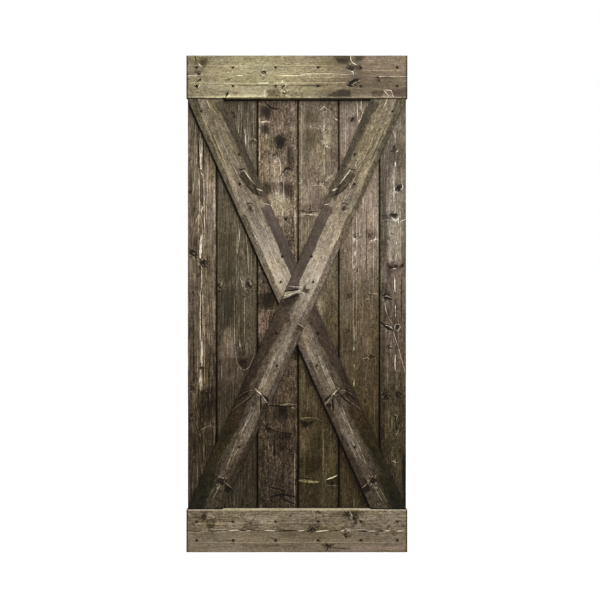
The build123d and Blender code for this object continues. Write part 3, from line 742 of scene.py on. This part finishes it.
def blotch_fields(u, v, blotches):
    """Sum of the soft blotches: lightness, purple, and how plain the surface is, which dark ones are."""
    light, purple, plain = np.zeros((3, *u.shape))
    for bu, bv, reach_u, reach_v, amount, hue in blotches:
        reach = ((u - bu) / reach_u) ** 2 + ((v - bv) / reach_v) ** 2
        near = np.exp(-(reach**2 if reach_u < 14 * MM else reach))
        light += amount * near
        purple += hue * near
        plain += near * min(0.6, max(0.0, -5.0 * amount))
    return light, purple, np.clip(plain, 0.0, 0.7)


def patch_fields(rng, u, v, patches):
    """Sum of the patches, whose outlines wander a little: lightness and purple."""
    light, purple = np.zeros((2, *u.shape))
    pu = u + 3.0 * MM * cloud(rng, u, v, 18 * MM, 9 * MM)
    pv = v + 2.4 * MM * cloud(rng, u, v, 15 * MM, 9 * MM)
    for amount, hue, soft, *corners in patches:
        inside = np.zeros(u.shape, dtype=bool)
        nearest = np.full(u.shape, 1.0)
        for (u0, v0), (u1, v1) in zip(corners, corners[1:] + corners[:1]):
            eu, ev = u1 - u0, v1 - v0
            t = np.clip(((pu - u0) * eu + (pv - v0) * ev) / (eu * eu + ev * ev), 0.0, 1.0)
            nearest = np.minimum(nearest, np.hypot(pu - u0 - t * eu, pv - v0 - t * ev))
            if ev:
                inside ^= ((v0 > pv) != (v1 > pv)) & (pu < u0 + (pv - v0) / ev * eu)
        mask = smooth(np.where(inside, nearest, -nearest), -soft / 2, soft / 2)
        light += amount * mask
        purple += hue * mask
    return light, purple


def fall_off(distance, reach):
    return np.exp(-np.maximum(distance, 0.0) / reach)


def painted_shade_by_battens(x, z):
    """Painted shade on the planks beside the rails and braces, with a painted cast shadow on the side away from the
    light.
    """
    across, up = x * cos(LEAN), (z - OPENING_MIDDLE) * sin(LEAN)
    from_long, from_halves = np.abs(across - up) - BRACE_WIDTH / 2, np.abs(across + up) - BRACE_WIDTH / 2
    below_rail = OPENING_HIGH - z
    # Painted shade close under the top rail and fading further down, just above the bottom rail and beside the long
    # brace
    painted_shade = 0.3 * fall_off(below_rail, 8 * MM) + 0.09 * fall_off(below_rail, 60 * MM)
    painted_shade = np.maximum(painted_shade, 0.12 * fall_off(z - OPENING_LOW, 5 * MM))
    painted_shade = np.maximum(painted_shade, 0.1 * fall_off(from_long, 4 * MM))
    # Painted cast shadow beside the halves, on their side away from the light
    shaded = across + up < 0
    return np.maximum(painted_shade, np.where(shaded, 0.28, 0.06) * fall_off(from_halves, np.where(shaded, 13 * MM, 4 * MM)))


def look_along(board, share):
    """Lightness, purple and coolness that far from the head or left end to the foot or right end."""
    look = BOARD_LOOK[board.name]
    return [between(look[i], look[i + 1], share) for i in (0, 2, 4)]


def plank_tone(board, v, w, x, z, from_edge):
    light, purple, cool = look_along(board, smooth(z, 1.5, 0.42))
    joint = np.where(v < 0, board.left_v > 0, board.right_v > 0)
    light -= joint * (0.28 * smooth(from_edge, 4.8 * MM, 1.8 * MM) + 0.02 * smooth(from_edge, 16 * MM, 5 * MM))
    # Painted shade and shadow of the battens on the plank's front
    light -= (w > -3.5 * MM) * painted_shade_by_battens(x, z)
    cool += 0.4 * smooth(z, 0.44, 0.3) - 1.6 * joint * smooth(from_edge, 6 * MM, 2 * MM)
    return light, purple, cool, 0.0


def rail_tone(board, w, x, z, from_edge):
    light, purple, cool = look_along(board, smooth(x, -0.35, 0.45))
    # The bottom rail's top edge is a painted highlight of the light from above, and both rails' ends are dark
    top = (z > OPENING_LOW - 2.4 * MM) * (z < OPENING_LOW + 10 * MM)
    on_face = w >= board.face - 2.5 * MM
    light += 0.3 * top - 0.06 * smooth(from_edge, 4 * MM, 1 * MM) * (1 - top)
    light -= 0.24 * smooth(np.abs(x), 0.465, 0.471) * on_face
    return light, purple, cool, 0.45 * smooth(z, 0.094, 0.082)


def along_list(points, u):
    """Straight runs between the points of a list of millimetres and values, at u in metres."""
    return np.interp(u / MM, *zip(*points))


def brace_tone(rng, board, u, v, z, from_edge):
    s = board.side * v
    # The bands' edges are crisp in the upper half and break up below the crossing
    crisp = smooth(u, -0.05, 0.1)
    soft = (6.5 - 4.7 * crisp) * MM
    ragged = (3.0 - 1.9 * crisp) * MM * cloud(rng, u, v, 22 * MM, 16 * MM) + 1.2 * MM * cloud(rng, u, v, 8 * MM, 8 * MM)
    outer_band = along_list(OUTER_BAND, u) * MM
    inner = smooth(s - along_list(INNER_BAND, u) * MM + ragged, soft, -soft)
    outer = smooth(s - outer_band + ragged, -soft, soft)
    middle = along_list(MIDDLE_LIGHT, u)
    light = middle + inner * (along_list(INNER_LIGHT, u) - middle) + outer * (along_list(OUTER_LIGHT, u) - middle)
    # Lighter towards the outer side, and along the outer band's edge in the upper half
    below = smooth(u, 0.06, -0.06)
    tilt = np.clip((s - 6 * MM) / (22 * MM), -1.0, 1.0)
    lit_edge = 0.07 * crisp * smooth(outer_band - s, 34 * MM, 6 * MM)
    light += (1 - inner) * (1 - outer) * (0.06 * below * tilt - 0.015 * below + lit_edge)
    light -= 0.05 * smooth(from_edge, 4 * MM, 1 * MM)
    # Painted shade on the brace where it meets the top rail and the bottom rail
    light -= 0.34 * smooth(z, OPENING_HIGH - 6 * MM, OPENING_HIGH - 2 * MM)
    light -= 0.34 * smooth(z, OPENING_LOW + 6 * MM, OPENING_LOW + 2 * MM)

    smoky = smooth(u, 0.02, 0.12) * smooth(u, 0.5, 0.4)
    sooty = smooth(u, -0.8, -0.92)
    olive = smooth(u, 0.5, 0.75) * (1 - inner)
    purple = 0.15 - 0.3 * olive - 0.8 * sooty
    foot = smooth(u, -0.5, -0.72)
    purple += inner * (0.3 * smoky - 0.2 * smooth(u, 0.4, 0.6) + 0.7 * smooth(u, 0.05, -0.1) - 1.5 * foot)
    purple += outer * (0.3 * smooth(u, 0.1, -0.1) - 0.4 * smooth(u, 0.4, 0.7))
    yellow = 0.7 * smooth(u, -0.3, -0.42) + 1.9 * smooth(u, -0.46, -0.58) - 1.1 * smooth(u, -0.7, -0.78) - 1.3 * sooty
    return light, purple, 0.25 - 0.5 * olive + inner * (0.9 * smoky - yellow), inner * (0.2 + 0.3 * smoky)


def base_tone(rng, board, u, v, w):
    """Lightness, purple and coolness of the stain with its painted shade and highlight, before the patches, and how
    plain it is.
    """
    world = board.to_world(u, v, w)
    x, z = world[..., 0], world[..., 2]
    from_edge = board.half_width - np.abs(v)
    if board.name.startswith("plank"):
        return plank_tone(board, v, w, x, z, from_edge)
    if board.name.endswith("_rail"):
        return rail_tone(board, w, x, z, from_edge)
    return brace_tone(rng, board, u, v, z, from_edge)


def relief(rng, u, v, knots, streaks):
    """How far each point of the front stands above or below the flat face."""
    rough = 0.10 * cloud(rng, u, v, 70 * MM, 6 * MM) + 0.07 * cloud(rng, u, v, 24 * MM, 3.2 * MM)
    height = (rough + 0.35 * cloud(rng, u, v, 420 * MM, 110 * MM)) * MM
    for ku, kv, radius, dark in knots:
        reach = np.hypot((u - ku) / (1.2 * radius), (v - kv) / radius)
        height += dark * MM * (0.45 * smooth(reach, 2.2, 1.1) - 0.75 * smooth(reach, 1.05, 0.6))
    for streak in streaks:
        half_width, light = streak[:2]
        line = streak_fields(u, v, [streak])
        wide = max(half_width, 2.4 * MM) / half_width
        shape = np.exp(-((line[..., 0] / wide) ** 2)) * np.abs(line[..., 1])
        height += (0.5 if light > 0 else -1.8) * MM * shape
    return height


def wear_of_arris(rng, u):
    """Dents and rounding along an arris, as a depth that varies along the board."""
    fine = np.clip(cloud(rng, u, 0 * u, 14 * MM, 1.0), 0.2, 1.0) - 0.2
    broad = np.clip(cloud(rng, u, 0 * u, 90 * MM, 1.0), 0.0, 1.0)
    return (0.9 * fine + 0.8 * broad) * MM


def board_grid(board, rng, knots, streaks):
    """All points of the board's surface, station by station round the section."""
    loop, front_count = section(board)
    t = stations(board)
    start, stop = (end + slope * loop[:, 0] for end, slope in board.ends)
    u = start[None, :] + (stop - start)[None, :] * t[:, None]
    v = np.repeat(loop[None, :, 0], len(t), axis=0)
    w = np.repeat(loop[None, :, 1], len(t), axis=0)

    front, back = slice(0, front_count), slice(front_count, None)
    w[:, front] += relief(rng, u[:, front], v[:, front], knots, streaks)
    end_rows = [0, -1]
    w[end_rows, front] -= SAWN * (1.0 + 0.5 * cloud(rng, v[end_rows, front], u[end_rows, front], 12 * MM, 1.0))
    for first, inward in ((0, 1), (front_count - 1, -1)):
        worn = wear_of_arris(rng, u[:, first])
        for place, share in enumerate((0.5, 1.0, 0.7)):
            w[:, first + inward * place] -= worn * share
        v[:, first] += inward * worn * 0.35
    w[:, back] += 0.15 * MM * cloud(rng, u[:, back], v[:, back], 60 * MM, 12 * MM)
    return u, v, w, front_count


def sink_screws(board, u, v, w, front_count, screws):
    """Pulls the front's grid into a countersink at every screw of the board."""
    # Rings of points round a screw: which ring, its radius, its depth and how far it is pulled there
    rings = (
        (0, 0.0, 5.0 * MM, 1.0), (1, 3.9 * MM, 1.0 * MM, 1.0), (2, HOLE_RADIUS, 0.0, 1.0), (3, 8.4 * MM, 0.0, 0.55),
    )
    for x, z in screws:
        su, sv = board.to_local(x, z)
        column = int(np.abs(v[len(v) // 2, :front_count] - sv).argmin())
        row = int(np.abs(u[:, column] - su).argmin())
        surface = w[row, column]
        for ring, radius, depth, share in rings:
            steps = range(-ring, ring + 1)
            for di, dj in [(a, b) for a in steps for b in steps if max(abs(a), abs(b)) == ring]:
                i, j, angle = row + di, column + dj, atan2(di, dj)
                u[i, j] += share * (su + radius * sin(angle) - u[i, j])
                v[i, j] += share * (sv + radius * cos(angle) - v[i, j])
                if share == 1.0:
                    w[i, j] = surface - depth


def surface_fields(board, rng, u, v, w, marks, screws):
    """What the material reads at each point: where it is in the tree, and the marks near it."""
    knots, streaks, blotches, patches = marks
    lined, speckled = BOARD_LOOK.get(board.name, BRACE_LOOK)[-2:]
    on_front = w > board.face - 4 * MM
    on_back = w < board.face - THICKNESS + 1 * MM
    knot, push = knot_fields(rng, u, v, knots)
    pale = streak_fields(u, v, [streak for streak in streaks if streak[1] > 0])
    # Cracks look wider and darker than they are deep
    dark = streak_fields(u, v, [(1.5 * streak[0], 1.3 * streak[1], *streak[2:]) for streak in streaks if streak[1] < 0])
    light, purple, plain = blotch_fields(u, v, blotches)
    patch_light, patch_purple = patch_fields(rng, u, v, patches)
    # Olive patches are mostly yellower, purple ones mostly pinker
    hue_here = 0.9 * purple + 0.6 * patch_purple
    pinker, greener = np.maximum(hue_here, 0.0), np.minimum(hue_here, 0.0)
    light += patch_light + 0.022 * cloud(rng, u, v, 260 * MM, 60 * MM) + 0.022 * cloud(rng, u, v, 90 * MM, 26 * MM)
    for x, z in screws:
        su, sv = board.to_local(x, z)
        light -= 0.6 * smooth(np.hypot(u - su, v - sv), 5.3 * MM, 4.1 * MM)
    base, hue, cool, smoothed = base_tone(rng, board, u, v, w)
    plain = np.maximum(plain, smoothed)
    cool = cool + 0.7 * greener + 0.4 * cloud(rng, u, v, 150 * MM, 45 * MM) + 0.35 * cloud(rng, u, v, 55 * MM, 30 * MM)

    # The heart of the tree lies behind the face and wanders along the board
    turn = rng.uniform(0, 2 * pi, 4)
    heart_v = rng.uniform(-0.25, 0.25) * board.half_width
    heart_v = heart_v + 9 * MM * np.sin(u * 5.1 + turn[0]) + 4 * MM * np.sin(u * 13.0 + turn[1])
    heart_w = board.face - rng.uniform(34, 54) * MM
    heart_w = heart_w + 12 * MM * np.sin(u * 3.7 + turn[2]) + 4 * MM * np.sin(u * 11.0 + turn[3])
    shift = rng.uniform(-3.0, 3.0, 3)
    # The knots grow through to the back
    pushed = v + push * (on_front | on_back) * 5 * MM
    return {
        "grain": (pushed + shift[0], u + shift[1], w + shift[2]),
        "heart": ((pushed - heart_v) / GROWTH_RING, (w - heart_w) / GROWTH_RING, cool),
        "knot": (knot[..., 0], knot[..., 1], knot[..., 2] * (on_front + 0.8 * on_back)),
        "line": (pale[..., 0], pale[..., 1] * on_front, dark[..., 0]),
        "tone": (base + light * on_front - 0.02 * (1 - on_front) + 0.05 * on_back,
                 hue + (0.7 * pinker + 0.55 * greener) * on_front, 0.0),
        "look": (lined * (1 - smoothed) * (1 - 0.3 * on_back), speckled * (1 - plain) * (1 - 0.4 * on_back),
                 dark[..., 1] * on_front),
        "axis": (board.along[0], 0.0, board.along[1] + 0 * u),
    }


def bake_layout(board):
    """Where each corner of each face lies on the baked picture: the board unrolled and cut into lengths."""
    gap = 4 * MM
    loop, _ = section(board)
    length = board.ends[1][0] - board.ends[0][0]
    t = stations(board)
    around = np.concatenate([[0.0], np.cumsum(np.hypot(*(np.roll(loop, -1, axis=0) - loop).T))])
    strip = around[-1] + gap
    caps = THICKNESS + 2 * gap
    parts = min((1, 2, 3, 4), key=lambda n: max(length / n + caps, n * strip))

    part = np.arange(len(t) - 1) * parts // (len(t) - 1)
    start = t[[int(np.argmax(part == k)) for k in range(parts)]][part]
    low, high = (t[:-1] - start) * length, (t[1:] - start) * length
    x = part[:, None, None] * strip + np.stack([around[:-1], around[1:], around[1:], around[:-1]], axis=-1)[None]
    y = np.repeat(np.stack([low, low, high, high], axis=-1)[:, None], len(loop), axis=1)
    top = high.max() + gap
    cap_x, cap_y = loop[:, 0] - loop[:, 0].min(), loop[:, 1] - loop[:, 1].min() + top
    x = np.concatenate([x.ravel(), cap_x[::-1], cap_x + cap_x.max() + gap])
    y = np.concatenate([y.ravel(), cap_y[::-1], cap_y])
    return np.stack([x, y], axis=-1) / max(x.max(), y.max())


def build(board, seed, screws, material):
    rng = np.random.default_rng(seed)
    marks = local_marks(board)
    u, v, w, front_count = board_grid(board, rng, *marks[:2])
    sink_screws(board, u, v, w, front_count, screws)
    fields = surface_fields(board, rng, u, v, w, marks, screws)
    rows, columns = u.shape
    points = board.to_world(u, v, w).reshape(-1, 3)
    here = np.arange(rows * columns).reshape(rows, columns)
    there = np.roll(here, -1, axis=1)
    quads = np.stack([here[:-1], there[:-1], there[1:], here[1:]], axis=-1).reshape(-1, 4)
    corners = np.concatenate([quads.ravel(), here[0][::-1], here[-1]]).astype(np.int32)
    sizes = np.concatenate([np.full(len(quads), 4), [columns, columns]])
    starts = np.concatenate([[0], np.cumsum(sizes)[:-1]]).astype(np.int32)
    mesh = bpy.data.meshes.new(board.name + "_wood")
    mesh.vertices.add(len(points))
    mesh.vertices.foreach_set("co", points.astype(np.float32).ravel())
    mesh.loops.add(len(corners))
    mesh.loops.foreach_set("vertex_index", corners)
    mesh.polygons.add(len(sizes))
    mesh.polygons.foreach_set("loop_start", starts)
    mesh.update(calc_edges=True)
    for name, values in fields.items():
        vectors = np.stack(np.broadcast_arrays(*values), axis=-1).astype(np.float32)
        mesh.attributes.new(name, "FLOAT_VECTOR", "POINT").data.foreach_set("vector", vectors.ravel())
    mesh.uv_layers.new(name="OFBake").data.foreach_set("uv", bake_layout(board).astype(np.float32).ravel())
    mesh.materials.append(material)
    mesh.polygons.foreach_set("use_smooth", np.ones(len(sizes), dtype=bool))
    mesh.set_sharp_from_angle(angle=radians(32))
    piece = bpy.data.objects.new(board.name + "_wood", mesh)
    bpy.context.scene.collection.objects.link(piece)
    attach(piece, "root")
    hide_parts(board.name)


class Value:
    """What comes out of a node. Sums and products with it become Math nodes."""

    def __init__(self, shader, socket):
        self.shader, self.socket = shader, socket

    def __add__(self, other):
        return self.shader.math("ADD", self, other)

    def __sub__(self, other):
        return self.shader.math("SUBTRACT", self, other)

    def __rsub__(self, other):
        return self.shader.math("SUBTRACT", other, self)

    def __mul__(self, other):
        return self.shader.math("MULTIPLY", self, other)

    def __abs__(self):
        return self.shader.math("ABSOLUTE", self)


class Shader:
    """Short names for the nodes of one material or world."""

    def __init__(self, owner):
        owner.use_nodes = True
        self.tree = owner.node_tree
        self.tree.nodes.clear()

    def node(self, kind, inputs=(), **settings):
        """A node with these settings. Its inputs are values or constants, by place or by name."""
        node = self.tree.nodes.new(kind)
        for key, value in settings.items():
            setattr(node, key, value)
        for key, value in inputs.items() if isinstance(inputs, dict) else enumerate(inputs):
            if isinstance(value, Value):
                self.tree.links.new(value.socket, node.inputs[key])
            else:
                node.inputs[key].default_value = value
        return node

    def out(self, node, name=0):
        return Value(self, node.outputs[name])

    def math(self, operation, *values):
        return self.out(self.node("ShaderNodeMath", values, operation=operation))

    def limited(self, value, low, high):
        return self.math("MINIMUM", self.math("MAXIMUM", value, low), high)

    def vector(self, operation, *values, out="Vector"):
        return self.out(self.node("ShaderNodeVectorMath", values, operation=operation), out)

    def length(self, vector):
        return self.vector("LENGTH", vector, out="Value")

    def parts(self, vector):
        node = self.node("ShaderNodeSeparateXYZ", (vector,))
        return [self.out(node, axis) for axis in range(3)]

    def joined(self, x, y, z):
        return self.out(self.node("ShaderNodeCombineXYZ", (x, y, z)))

    def field(self, name):
        return self.out(self.node("ShaderNodeAttribute", attribute_name=name), "Vector")

    def step(self, value, low, high, to_low=0.0, to_high=1.0):
        """A soft step of value from low to high."""
        inputs = (value, low, high, to_low, to_high)
        return self.out(self.node("ShaderNodeMapRange", inputs, interpolation_type="SMOOTHSTEP"))

    def raw_noise(self, place, across, along, detail, roughness, out):
        """Blender's noise from 0 to 1, with that size in millimetres across and along the grain."""
        scaled = self.vector("MULTIPLY", place, (1000 / across, 1000 / along, 1000 / across))
        inputs = {"Vector": scaled, "Scale": 1.0, "Detail": detail, "Roughness": roughness}
        return self.out(self.node("ShaderNodeTexNoise", inputs), out)

    def noise(self, place, across, along, detail=2.0, roughness=0.5):
        """Noise from about -1 to 1."""
        return (self.raw_noise(place, across, along, detail, roughness, "Fac") - 0.5) * NOISE_GAIN

    def wobble(self, place, across, along, amount):
        """A vector of noise of that amount, flat in its third part."""
        noise = self.raw_noise(place, across, along, 1.5, 0.5, "Color")
        centred = self.vector("SUBTRACT", noise, (0.5, 0.5, 0.5))
        return self.vector("MULTIPLY", centred, (NOISE_GAIN * amount, NOISE_GAIN * amount, 0.0))

    def mix(self, factor, a, b):
        inputs = {"Factor": factor, "A": a, "B": b}
        return self.out(self.node("ShaderNodeMix", inputs, data_type="RGBA"), "Result")

    def ramp(self, value, stops):
        node = self.node("ShaderNodeValToRGB", (value,))
        elements = node.color_ramp.elements
        while len(elements) < len(stops):
            elements.new(0.5)
        for element, (place, colour) in zip(elements, stops):
            element.position = place
            element.color = srgb(*colour)
        return self.out(node)

    def seen(self, *kinds):
        """1 for rays of one of these kinds, which see the white, and 0 for those that it only lights."""
        path = self.node("ShaderNodeLightPath")
        found = self.out(path, kinds[0])
        for kind in kinds[1:]:
            found = self.math("MAXIMUM", found, self.out(path, kind))
        return found

    def surface(self, colour, rough, specular, height, strength, distance):
        """A plain opaque surface with that bump."""
        bump = self.node("ShaderNodeBump", {"Strength": strength, "Distance": distance, "Height": height})
        inputs = {"Base Color": colour, "Roughness": rough, "Specular IOR Level": specular, "Normal": self.out(bump)}
        principled = self.node("ShaderNodeBsdfPrincipled", inputs)
        self.node("ShaderNodeOutputMaterial", {"Surface": self.out(principled)})


def srgb(r, g, b):
    """A colour of 0 to 255 as the linear values that nodes take."""
    scaled = [c / 255 for c in (r, g, b)]
    return (*[c / 12.92 if c <= 0.04045 else ((c + 0.055) / 1.055) ** 2.4 for c in scaled], 1.0)


# Stain from bare shadow to pale latewood, by how light it looks
STAIN = (
    (0.02, (14, 9, 3)), (0.12, (38, 31, 20)), (0.2, (57, 49, 35)), (0.3, (84, 73, 57)), (0.4, (110, 98, 80)),
    (0.5, (137, 125, 103)), (0.62, (170, 157, 132)), (0.78, (208, 196, 170)), (0.95, (243, 236, 214)),
)


def streaks_on(s, line, dark_share, grain, fine, mottle, breaks):
    """Lightness of the pale streaks, of the thin dark lines beside them, and of the dark streaks."""
    wave = s.noise(grain, 26, 30, 1.0) * 0.7 + fine * 0.45
    off = abs(line[0] + wave)
    ragged = s.step(breaks + mottle * 0.9, -0.9, 0.2, 0.5, 1.15)
    beside = s.step(off, 1.0, 1.7) * s.step(off, 2.9, 1.9) * line[1]
    pale = s.step(off, 1.35, 0.3) * ragged * line[1]
    dark = s.step(abs(line[2] + wave), 1.35, 0.3) * dark_share
    return pale, beside, dark


def knots_on(s, knot, grain, bands, mottle):
    """A dark crescent on one side of a brown eye, inside a broken pale outline, and ripples around them."""
    seat = s.vector("ADD", s.joined(knot[0], knot[1], 0.0), s.wobble(grain, 11, 9, 0.8))
    seat = s.vector("ADD", seat, s.wobble(grain, 4.5, 5, 0.3))
    reach = s.length(seat)
    hollow = s.step(s.length(s.vector("ADD", seat, (-0.5, 0.15, 0.0))), 1.0, 0.75)
    core = s.step(reach, 1.15, 0.85)
    outline = s.step(reach, 1.1, 1.25) * s.step(reach, 1.7, 1.4) * s.step(mottle, -0.35, 0.25)
    ripple = s.math("FRACT", reach * 1.35 + bands * 0.35)
    ripples = s.step(ripple, 0.5, 0.72) * s.step(ripple, 0.98, 0.85) + s.step(ripple, 0.4, 0.1, 0.0, -0.8)
    ripples = ripples * (s.step(reach, 1.3, 1.7) * s.step(reach, 3.3, 1.6))
    light = core * (1.0 - hollow) * -0.24 + core * hollow * -0.05 + s.step(reach, 2.3, 1.0) * (mottle * 0.2)
    light = light + (outline * 0.17 + ripples * 0.1) + s.step(reach, 2.4, 0.9, 0.0, -0.05)
    return light * knot[2], core * knot[2]


def stained_pine(name, chatter=0.0):
    """Stain wiped over pine: pale latewood on a dark ground, mottled, with knots, streaks and grey end grain."""
    wood = bpy.data.materials.new(name)
    s = Shader(wood)
    grain, heart = s.field("grain"), s.field("heart")
    knot, line, tone, look = [s.parts(s.field(field)) for field in ("knot", "line", "tone", "look")]
    cool = s.parts(heart)[2]

    bands = s.noise(grain, 14, 320, 2.0)
    hair = s.noise(grain, 4.2, 130, 2.0, 0.55)
    fine = s.noise(grain, 4.4, 22, 2.0, 0.6)
    mottle = s.noise(grain, 8.5, 10.5, 3.0, 0.68)
    broad = s.noise(grain, 60, 150, 2.0)
    breaks = s.noise(grain, 7, 60, 1.0)

    # Growth rings round the heart, with a narrow pale latewood line in each and a dark one beside it, partly dark
    # latewood and partly painted shade of the pale line's relief
    phase = s.math("FRACT", s.length(s.vector("MULTIPLY", heart, (1.0, 1.0, 0.0))) + bands * 0.22)
    latewood = s.step(phase, 0.66, 0.86) * s.step(phase, 0.96, 0.9)
    dark_latewood_and_shade = s.step(phase, 0.0, 0.06) * s.step(phase, 0.26, 0.08)
    rings = latewood * s.step(breaks, -0.3, 0.5) * 0.17 + dark_latewood_and_shade * -0.06

    hairs = s.step(hair, 0.12, 0.7, 0.0, 0.2) + s.step(hair, -0.12, -0.7, 0.0, -0.18)
    spots = s.step(mottle, 0.25, 0.7, 0.0, 0.09) + s.step(mottle, -0.25, -0.7, 0.0, -0.11)
    specks = s.noise(grain, 3.6, 4.4, 1.0) * 0.12 + mottle * 0.11 + spots
    texture = (rings + hairs + bands * 0.05) * look[0] + (specks + fine * 0.12) * look[1]
    # Plates of darker and lighter stain with crisp edges
    plates = (s.step(s.noise(grain, 26, 75, 2.5, 0.6), -0.06, 0.06, -0.022, 0.022)
              + s.step(s.noise(grain, 13, 30, 2.5, 0.6), 0.1, 0.22, 0.0, -0.035))
    texture = texture * 1.15 + (broad * 0.04 + plates * look[1])
    # All of it is a little fainter where the stain is darker
    value = tone[0] + texture * s.step(tone[0], 0.08, 0.4, 0.8, 1.0)

    pale, beside, dark = streaks_on(s, line, look[2], grain, fine, mottle, breaks)
    knotted, core = knots_on(s, knot, grain, bands, mottle)
    value = value + (pale + beside * -0.28) + dark + knotted
    if chatter:
        # Faint marks of the planer across the grain
        ripple = s.math("SINE", s.vector("DOT_PRODUCT", grain, (520.0, 760.0, 0.0), out="Value"))
        value = value + s.step(ripple, 0.2, 1.0) * s.step(breaks, 0.0, 0.8) * chatter

    # End grain takes up more stain and shows its rings
    normal = s.out(s.node("ShaderNodeNewGeometry"), "True Normal")
    end = s.step(abs(s.vector("DOT_PRODUCT", normal, s.field("axis"), out="Value")), 0.6, 0.85)
    value = value * (1.0 - end) + (latewood * 0.12 + 0.28 + fine * 0.06) * end

    purple = s.limited(tone[1] + broad * 0.4, -1.6, 1.6)
    cold = s.limited(cool + bands * 0.3, -2.0, 2.4)
    tint = s.vector("ADD", s.vector("MULTIPLY", s.joined(purple, purple, purple), (0.07, -0.06, 0.07)),
                    s.vector("MULTIPLY", s.joined(cold, cold, cold), (-0.04, 0.0, 0.16)))
    colour = s.ramp(s.math("MAXIMUM", value, 0.02), STAIN)
    colour = s.vector("MULTIPLY", colour, s.vector("ADD", tint, (1.0, 1.0, 1.0)))

    rough = s.step(value, 0.1, 0.7, 0.62, 0.8) + mottle * 0.05
    height = fine * 0.35 + mottle * 0.35 + (rings + hairs) * 3.0 + (pale + dark) * 1.6 + core * -0.6
    s.surface(colour, rough, 0.1, height, 0.8, 0.5 * MM)
    return wood


def screw_steel():
    """Black oxide on steel, dull, a little browner in places."""
    steel = bpy.data.materials.new("screw_steel")
    s = Shader(steel)
    worn = s.noise(s.out(s.node("ShaderNodeTexCoord"), "Object"), 1.6, 1.6, 3.0)
    colour = s.mix(s.step(worn, 0.1, 0.9), srgb(7, 6, 5), srgb(22, 18, 14))
    s.surface(colour, s.step(worn, -0.6, 0.8, 0.75, 0.6), 0.15, worn, 0.4, 0.1 * MM)
    return steel


def screw_places():
    """Middle of every screw, from the loose parts of the screw nodes."""
    places = []
    for name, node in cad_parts.items():
        left = np.array([vertex.co for vertex in node.data.vertices]) if name.endswith("_screws") else ()
        while len(left):
            near = np.hypot(left[:, 0] - left[0, 0], left[:, 2] - left[0, 2]) < 12 * MM
            low, high = left[near].min(0), left[near].max(0)
            places.append(((low[0] + high[0]) / 2, (low[2] + high[2]) / 2, name))
            left = left[~near]
    return places


def light_the_stage():
    """White all round, which lights the door with less than the camera sees, and two lamps."""
    scene = bpy.context.scene
    scene.view_settings.view_transform = "Standard"
    scene.world = bpy.data.worlds.new("studio")
    s = Shader(scene.world)
    seen = s.seen("Is Camera Ray", "Is Glossy Ray", "Is Transmission Ray")
    strength = s.node("ShaderNodeMapRange", {"Value": seen, "To Min": WORLD_LIGHT, "To Max": 1.0})
    background = s.node("ShaderNodeBackground", {"Color": WHITE, "Strength": s.out(strength)})
    s.node("ShaderNodeOutputWorld", {"Surface": s.out(background)})

    for name, (place, power, size) in LAMPS.items():
        lamp = bpy.data.lights.new(name, "AREA")
        lamp.shape = "DISK"
        lamp.size = size
        lamp.energy = power
        holder = bpy.data.objects.new(name, lamp)
        holder.location = place
        holder.rotation_euler = (DOOR_MIDDLE - Vector(place)).to_track_quat("-Z", "Y").to_euler()
        scene.collection.objects.link(holder)


def floor_material():
    """White floor: seen directly it is white, with only a faint shadow of the door."""
    material = bpy.data.materials.new("white_floor")
    s = Shader(material)
    grain = s.noise(s.out(s.node("ShaderNodeTexCoord"), "Object"), 4, 4, 2.0)
    colour = s.mix(s.step(grain, -1.0, 1.0), (0.3, 0.3, 0.3, 1.0), (0.32, 0.32, 0.32, 1.0))
    diffuse = s.node("ShaderNodeBsdfDiffuse", {"Color": colour})
    glow = s.node("ShaderNodeEmission", {"Color": WHITE, "Strength": s.seen("Is Camera Ray", "Is Glossy Ray") * 0.95})
    both = s.node("ShaderNodeAddShader", (s.out(diffuse), s.out(glow)))
    s.node("ShaderNodeOutputMaterial", {"Surface": s.out(both)})
    return material


def lay_floor():
    side, below = 9.0, -0.5 * MM
    mesh = bpy.data.meshes.new("floor")
    corners = [(-side, -side, below), (side, -side, below), (side, side, below), (-side, side, below)]
    mesh.from_pydata(corners, [], [(0, 1, 2, 3)])
    mesh.materials.append(floor_material())
    floor = bpy.data.objects.new("floor", mesh)
    bpy.context.scene.collection.objects.link(floor)


def place_camera():
    lens = bpy.data.cameras.new("camera")
    lens.sensor_width = SENSOR_WIDTH
    lens.lens = LENS_LENGTH
    camera = bpy.data.objects.new("camera", lens)
    camera.location = CAMERA_PLACE
    camera.rotation_euler = (pi / 2, 0.0, 0.0)
    bpy.context.scene.collection.objects.link(camera)
    bpy.context.scene.camera = camera


def main():
    place_camera()
    light_the_stage()
    lay_floor()
    woods = {name: stained_pine(name, chatter) for name, chatter in WOODS}
    screws = screw_places()
    for seed, board in enumerate(plank_boards() + rail_boards() + brace_boards(), start=FIRST_SEED):
        own = [(x, z) for x, z, node in screws if node == board.name + "_screws"]
        slot = next(name for name in woods if name.removesuffix("_wood") in board.name)
        build(board, seed, own, woods[slot])
    steel = screw_steel()
    for name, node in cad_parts.items():
        if name.endswith("_screws"):
            node.data.materials.clear()
            node.data.materials.append(steel)


main()
